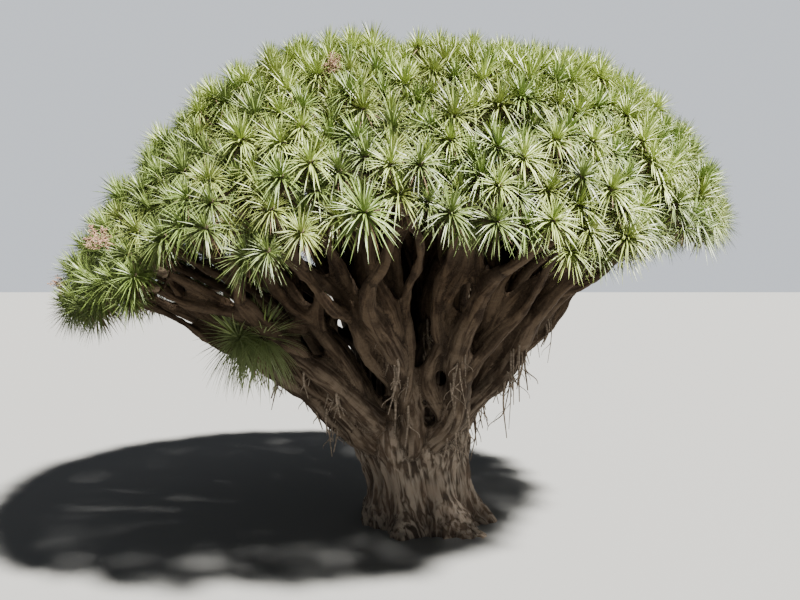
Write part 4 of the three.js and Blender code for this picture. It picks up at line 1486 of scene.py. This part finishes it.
def bark_material(name, fibres, scars):
    """Dark, stringy bark on old thick wood that turns to brown ringed bark on the younger limbs, whose brown
    is darkened as painted shade under the crown; painted shade in the grooves and where limbs meet.
    """
    material, tree, shader = material_of(name, WOOD_ROUGHNESS, WOOD_GLOSS)
    space = carried(tree, "limb_space")["Vector"]
    youth = carried(tree, "youth")["Fac"]
    painted_crease_shade = carried(tree, "painted_crease_shade")["Fac"]
    values = {"Space": space, "Fibre Width": FIBRE_WIDTH}
    fibre = put(tree, "ShaderNodeGroup", values, node_tree=fibres).outputs
    values = {"Space": space, "Spacing": RING_SPACING}
    scar = put(tree, "ShaderNodeGroup", values, node_tree=scars).outputs[0]
    strands = ranged(tree, fibre["Strands"], *BARK_RANGES["strands"])
    blotches = ranged(tree, clouds(tree, object_place(tree), **BLOTCHES), *BARK_RANGES["blotches"])
    stain = product(tree, blotches, BARK_STRENGTHS["blotches"])
    old = blended(tree, stain, blended(tree, strands, *BARK["old"]), BARK["old_blotch"])
    # young bark, its colours darkened as painted shade under the crown
    young = blended(tree, stain, blended(tree, strands, *BARK["young"]), BARK["young_blotch"])
    share = product(tree, youth, BARK_STRENGTHS["rings"])
    rings = product(tree, ranged(tree, scar, *BARK_RANGES["rings"]), share)
    ringed = blended(tree, rings, blended(tree, youth, old, young), BARK["ring"])
    # painted shade in the grooves and where limbs meet
    deep = product(tree, ranged(tree, painted_crease_shade, *BARK_RANGES["painted_crease_shades"]), BARK_STRENGTHS["painted_crease_shades"])
    tree.links.new(blended(tree, deep, ringed, BARK["painted_crease_shade"]), shader.inputs["Base Color"])
    tree.links.new(ranged(tree, strands, 0.0, 1.0, *BARK_ROUGHNESS), shader.inputs["Roughness"])
    bump_by(tree, shader, calc(tree, "MULTIPLY_ADD", scar, youth, fibre["Height"]), *BARK_BUMP)
    return material


def leaf_material(name, colour, wax, roughness=LEAF_ROUGHNESS):
    """One plain colour, with waxy patches and fine streaks."""
    material, tree, shader = material_of(name)
    shader.inputs["Base Color"].default_value = (*colour, 1)
    values = {"Place": object_place(tree), "Dull": roughness[0], "Waxy": roughness[1]}
    node = put(tree, "ShaderNodeGroup", values, node_tree=wax)
    tree.links.new(node.outputs["Roughness"], shader.inputs["Roughness"])
    bump_by(tree, shader, node.outputs["Height"], *LEAF_BUMP)
    return material


def panicle_material(name):
    material, tree, shader = material_of(name, FLOWER_ROUGHNESS)
    share = ranged(tree, clouds(tree, object_place(tree), **FLOWER_BLOTCHES), *FLOWER_RANGE)
    tree.links.new(blended(tree, share, *FLOWER_HEAD), shader.inputs["Base Color"])
    return material


def twig_material(name, scars, tones):
    """Thin wood with rings where leaves fell."""
    material, tree, shader = material_of(name, WOOD_ROUGHNESS, WOOD_GLOSS)
    values = {"Space": object_place(tree), "Spacing": TWIG_RING_SPACING}
    scar = put(tree, "ShaderNodeGroup", values, node_tree=scars).outputs[0]
    share = ranged(tree, scar, *TWIG_RANGE)
    tree.links.new(blended(tree, share, *tones), shader.inputs["Base Color"])
    bump_by(tree, shader, scar, *TWIG_BUMP)
    return material


# The pieces


def dress(piece, replaced=()):
    """Says what a piece rides, and hides the nodes it stands for."""
    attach(piece, "root")
    if replaced:
        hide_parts(*replaced)


def show_wood(masses, branches, fibres, scars):
    """The skin of the trunk and all limbs, as closed pieces that replace the solids."""
    runs = wood_runs(masses, branches)
    corners, quads, owner, space, girth, painted_crease_shade = weld_wood(runs)
    # the crease attribute carries painted shade in grooves and where limbs meet
    attributes = {"limb_space": space, "youth": youth_of(corners, girth), "painted_crease_shade": painted_crease_shade}
    cuts = np.array([run.cut for run in runs] + [math.inf])
    sectors = np.array([run.sector + 1 for run in runs] + [0])
    label = np.where(space[:, 2] > cuts[owner], sectors[owner], 0)
    shares = smoothed(np.eye(len(BOUGH_PIECES) + 1)[label], quads, LABEL_SMOOTHINGS)
    face_label = shares.argmax(axis=1)[quads].max(axis=1)
    trunk_bark = bark_material("Old fibrous bark", fibres, scars)
    bough_bark = bark_material("Ringed bough bark", fibres, scars)
    trunk = closed_part("bark_trunk", corners, quads[face_label == 0], attributes, True)
    trunk.data.materials.append(trunk_bark)
    dress(trunk, ["trunk"])
    for sector, side in enumerate(BOUGH_PIECES):
        faces = quads[face_label == sector + 1]
        piece = closed_part(f"bark_boughs_{side}", corners, faces, attributes, False)
        piece.data.materials.append(bough_bark)
        dress(piece, [f"bough_{m['name']}" for m in masses if m["sector"] == sector])


def show_stalks(name, paths, sides, tree, material):
    values = {"Sides": sides, "Material": material}
    dress(grow_piece(name, paths_mesh(name, paths), tree, values))


def show_leaves(kind, rosettes, shape, seed, tree, material, replaced=()):
    name = f"leaves_{kind}"
    values = shape | {"Seed": seed, "Material": material}
    dress(grow_piece(name, hearts_mesh(name, rosettes), tree, values), replaced)


def deal_tones(rosettes):
    """The crown's rosettes by tone, in equal shares: by chance, and paler more often high up and on the right
    as painted light.
    """
    roll = dice(SEEDS["tones"])
    chance_and_painted_light = [next(roll) + PAINTED_LIGHT_LIFT * (r["heart"] @ PAINTED_LIGHT_WAY) / TREE_HEIGHT for r in rosettes]
    shares = np.array_split(np.argsort(chance_and_painted_light), len(CROWN_TONES))
    return {tone: [rosettes[i] for i in share] for tone, share in zip(CROWN_TONES, shares)}


def show_foliage(masses, rosettes, wax):
    """Leaves of the crown by tone, of the low tuft, and the young and withered ones of every rosette."""
    tree = rosette_tree(leaf_blade_tree())
    nodes = [f"foliage_{m['name']}" for m in masses]
    seed = 0
    in_crown = len(rosettes) - LOW_TUFT["rosettes"]
    for tone, group in deal_tones(rosettes[:in_crown]).items():
        material = leaf_material(f"Leaf {tone}", CROWN_TONES[tone], wax)
        show_leaves(tone, group, CROWN_LEAVES, seed, tree, material, nodes)
        seed += LEAF_SEED_STEP
    material = leaf_material("Leaf deep", LOW_TONE, wax)
    show_leaves("deep", rosettes[in_crown:], LOW_LEAVES, seed, tree, material, nodes)
    material = leaf_material("Leaf young", YOUNG_TONE, wax)
    show_leaves("young", rosettes, YOUNG_LEAVES, SEEDS["young_leaves"], tree, material)
    material = leaf_material("Leaf withered", WITHERED_TONE, wax, WITHERED_ROUGHNESS)
    show_leaves("withered", rosettes, WITHERED_LEAVES, SEEDS["withered_leaves"], tree, material)


# Stage: a plain floor, soft light and the camera of the photograph


def lay_floor():
    far = FLOOR_REACH
    corners = [(-far, -far, 0), (far, -far, 0), (far, far, 0), (-far, far, 0)]
    floor = show("floor", mesh_from("floor", corners, [(0, 1, 2, 3)]))
    material, _, shader = material_of("Studio floor", FLOOR_ROUGHNESS)
    shader.inputs["Base Color"].default_value = (*FLOOR_COLOUR, 1)
    floor.data.materials.append(material)


def light_up():
    """A sun, and a sky that is brighter where the camera sees it."""
    world = bpy.data.worlds.new("Studio")
    world.use_nodes = True
    tree = world.node_tree
    backdrop = tree.nodes["Background"].inputs
    backdrop["Color"].default_value = (*SKY_COLOUR, 1)
    seen = put(tree, "ShaderNodeLightPath").outputs["Is Camera Ray"]
    tree.links.new(calc(tree, "MULTIPLY_ADD", seen, BACKDROP_SHINE, SKY_SHINE), backdrop["Strength"])
    scene.world = world
    sun = bpy.data.lights.new("Sun", "SUN")
    sun.energy = SUN["energy"]
    sun.angle = math.radians(SUN["width"])
    sun.color = SUN["colour"]
    lamp = bpy.data.objects.new("Sun", sun)
    lamp.rotation_euler = [math.radians(angle) for angle in SUN["turn"]]
    scene.collection.objects.link(lamp)


def stand_camera():
    camera = bpy.data.cameras.new("Camera")
    camera.lens = CAMERA["lens"]
    camera.sensor_width = CAMERA["film"]
    stand = bpy.data.objects.new("Camera", camera)
    stand.location = CAMERA["place"]
    stand.rotation_euler = (math.radians(90 - CAMERA["down"]), 0, 0)
    scene.collection.objects.link(stand)
    bpy.context.scene.camera = stand


masses = foliage_masses()
grow_boughs(masses)
sprout_rosettes(masses)
branches, twigs = grow_limbs(masses)
rosettes = [r for mass in masses for r in mass["rosettes"]]
fibres, scars, wax = fibre_group(), scar_group(), leaf_wax_group()
twig_bark = twig_material("Ringed twig bark", scars, TWIG_BARK)
root_bark = twig_material("Hanging root", scars, ROOT_BARK)
dried = panicle_material("Dried flower heads")
stalks = stalk_tree()

show_wood(masses, branches, fibres, scars)
show_stalks("twigs", twigs, 5, stalks, twig_bark)
show_foliage(masses, rosettes, wax)
show_stalks("hanging_roots", hanging_roots(masses), 5, stalks, root_bark)
show_stalks("panicles", flower_heads(rosettes), 4, stalks, dried)

lay_floor()
light_up()
stand_camera()
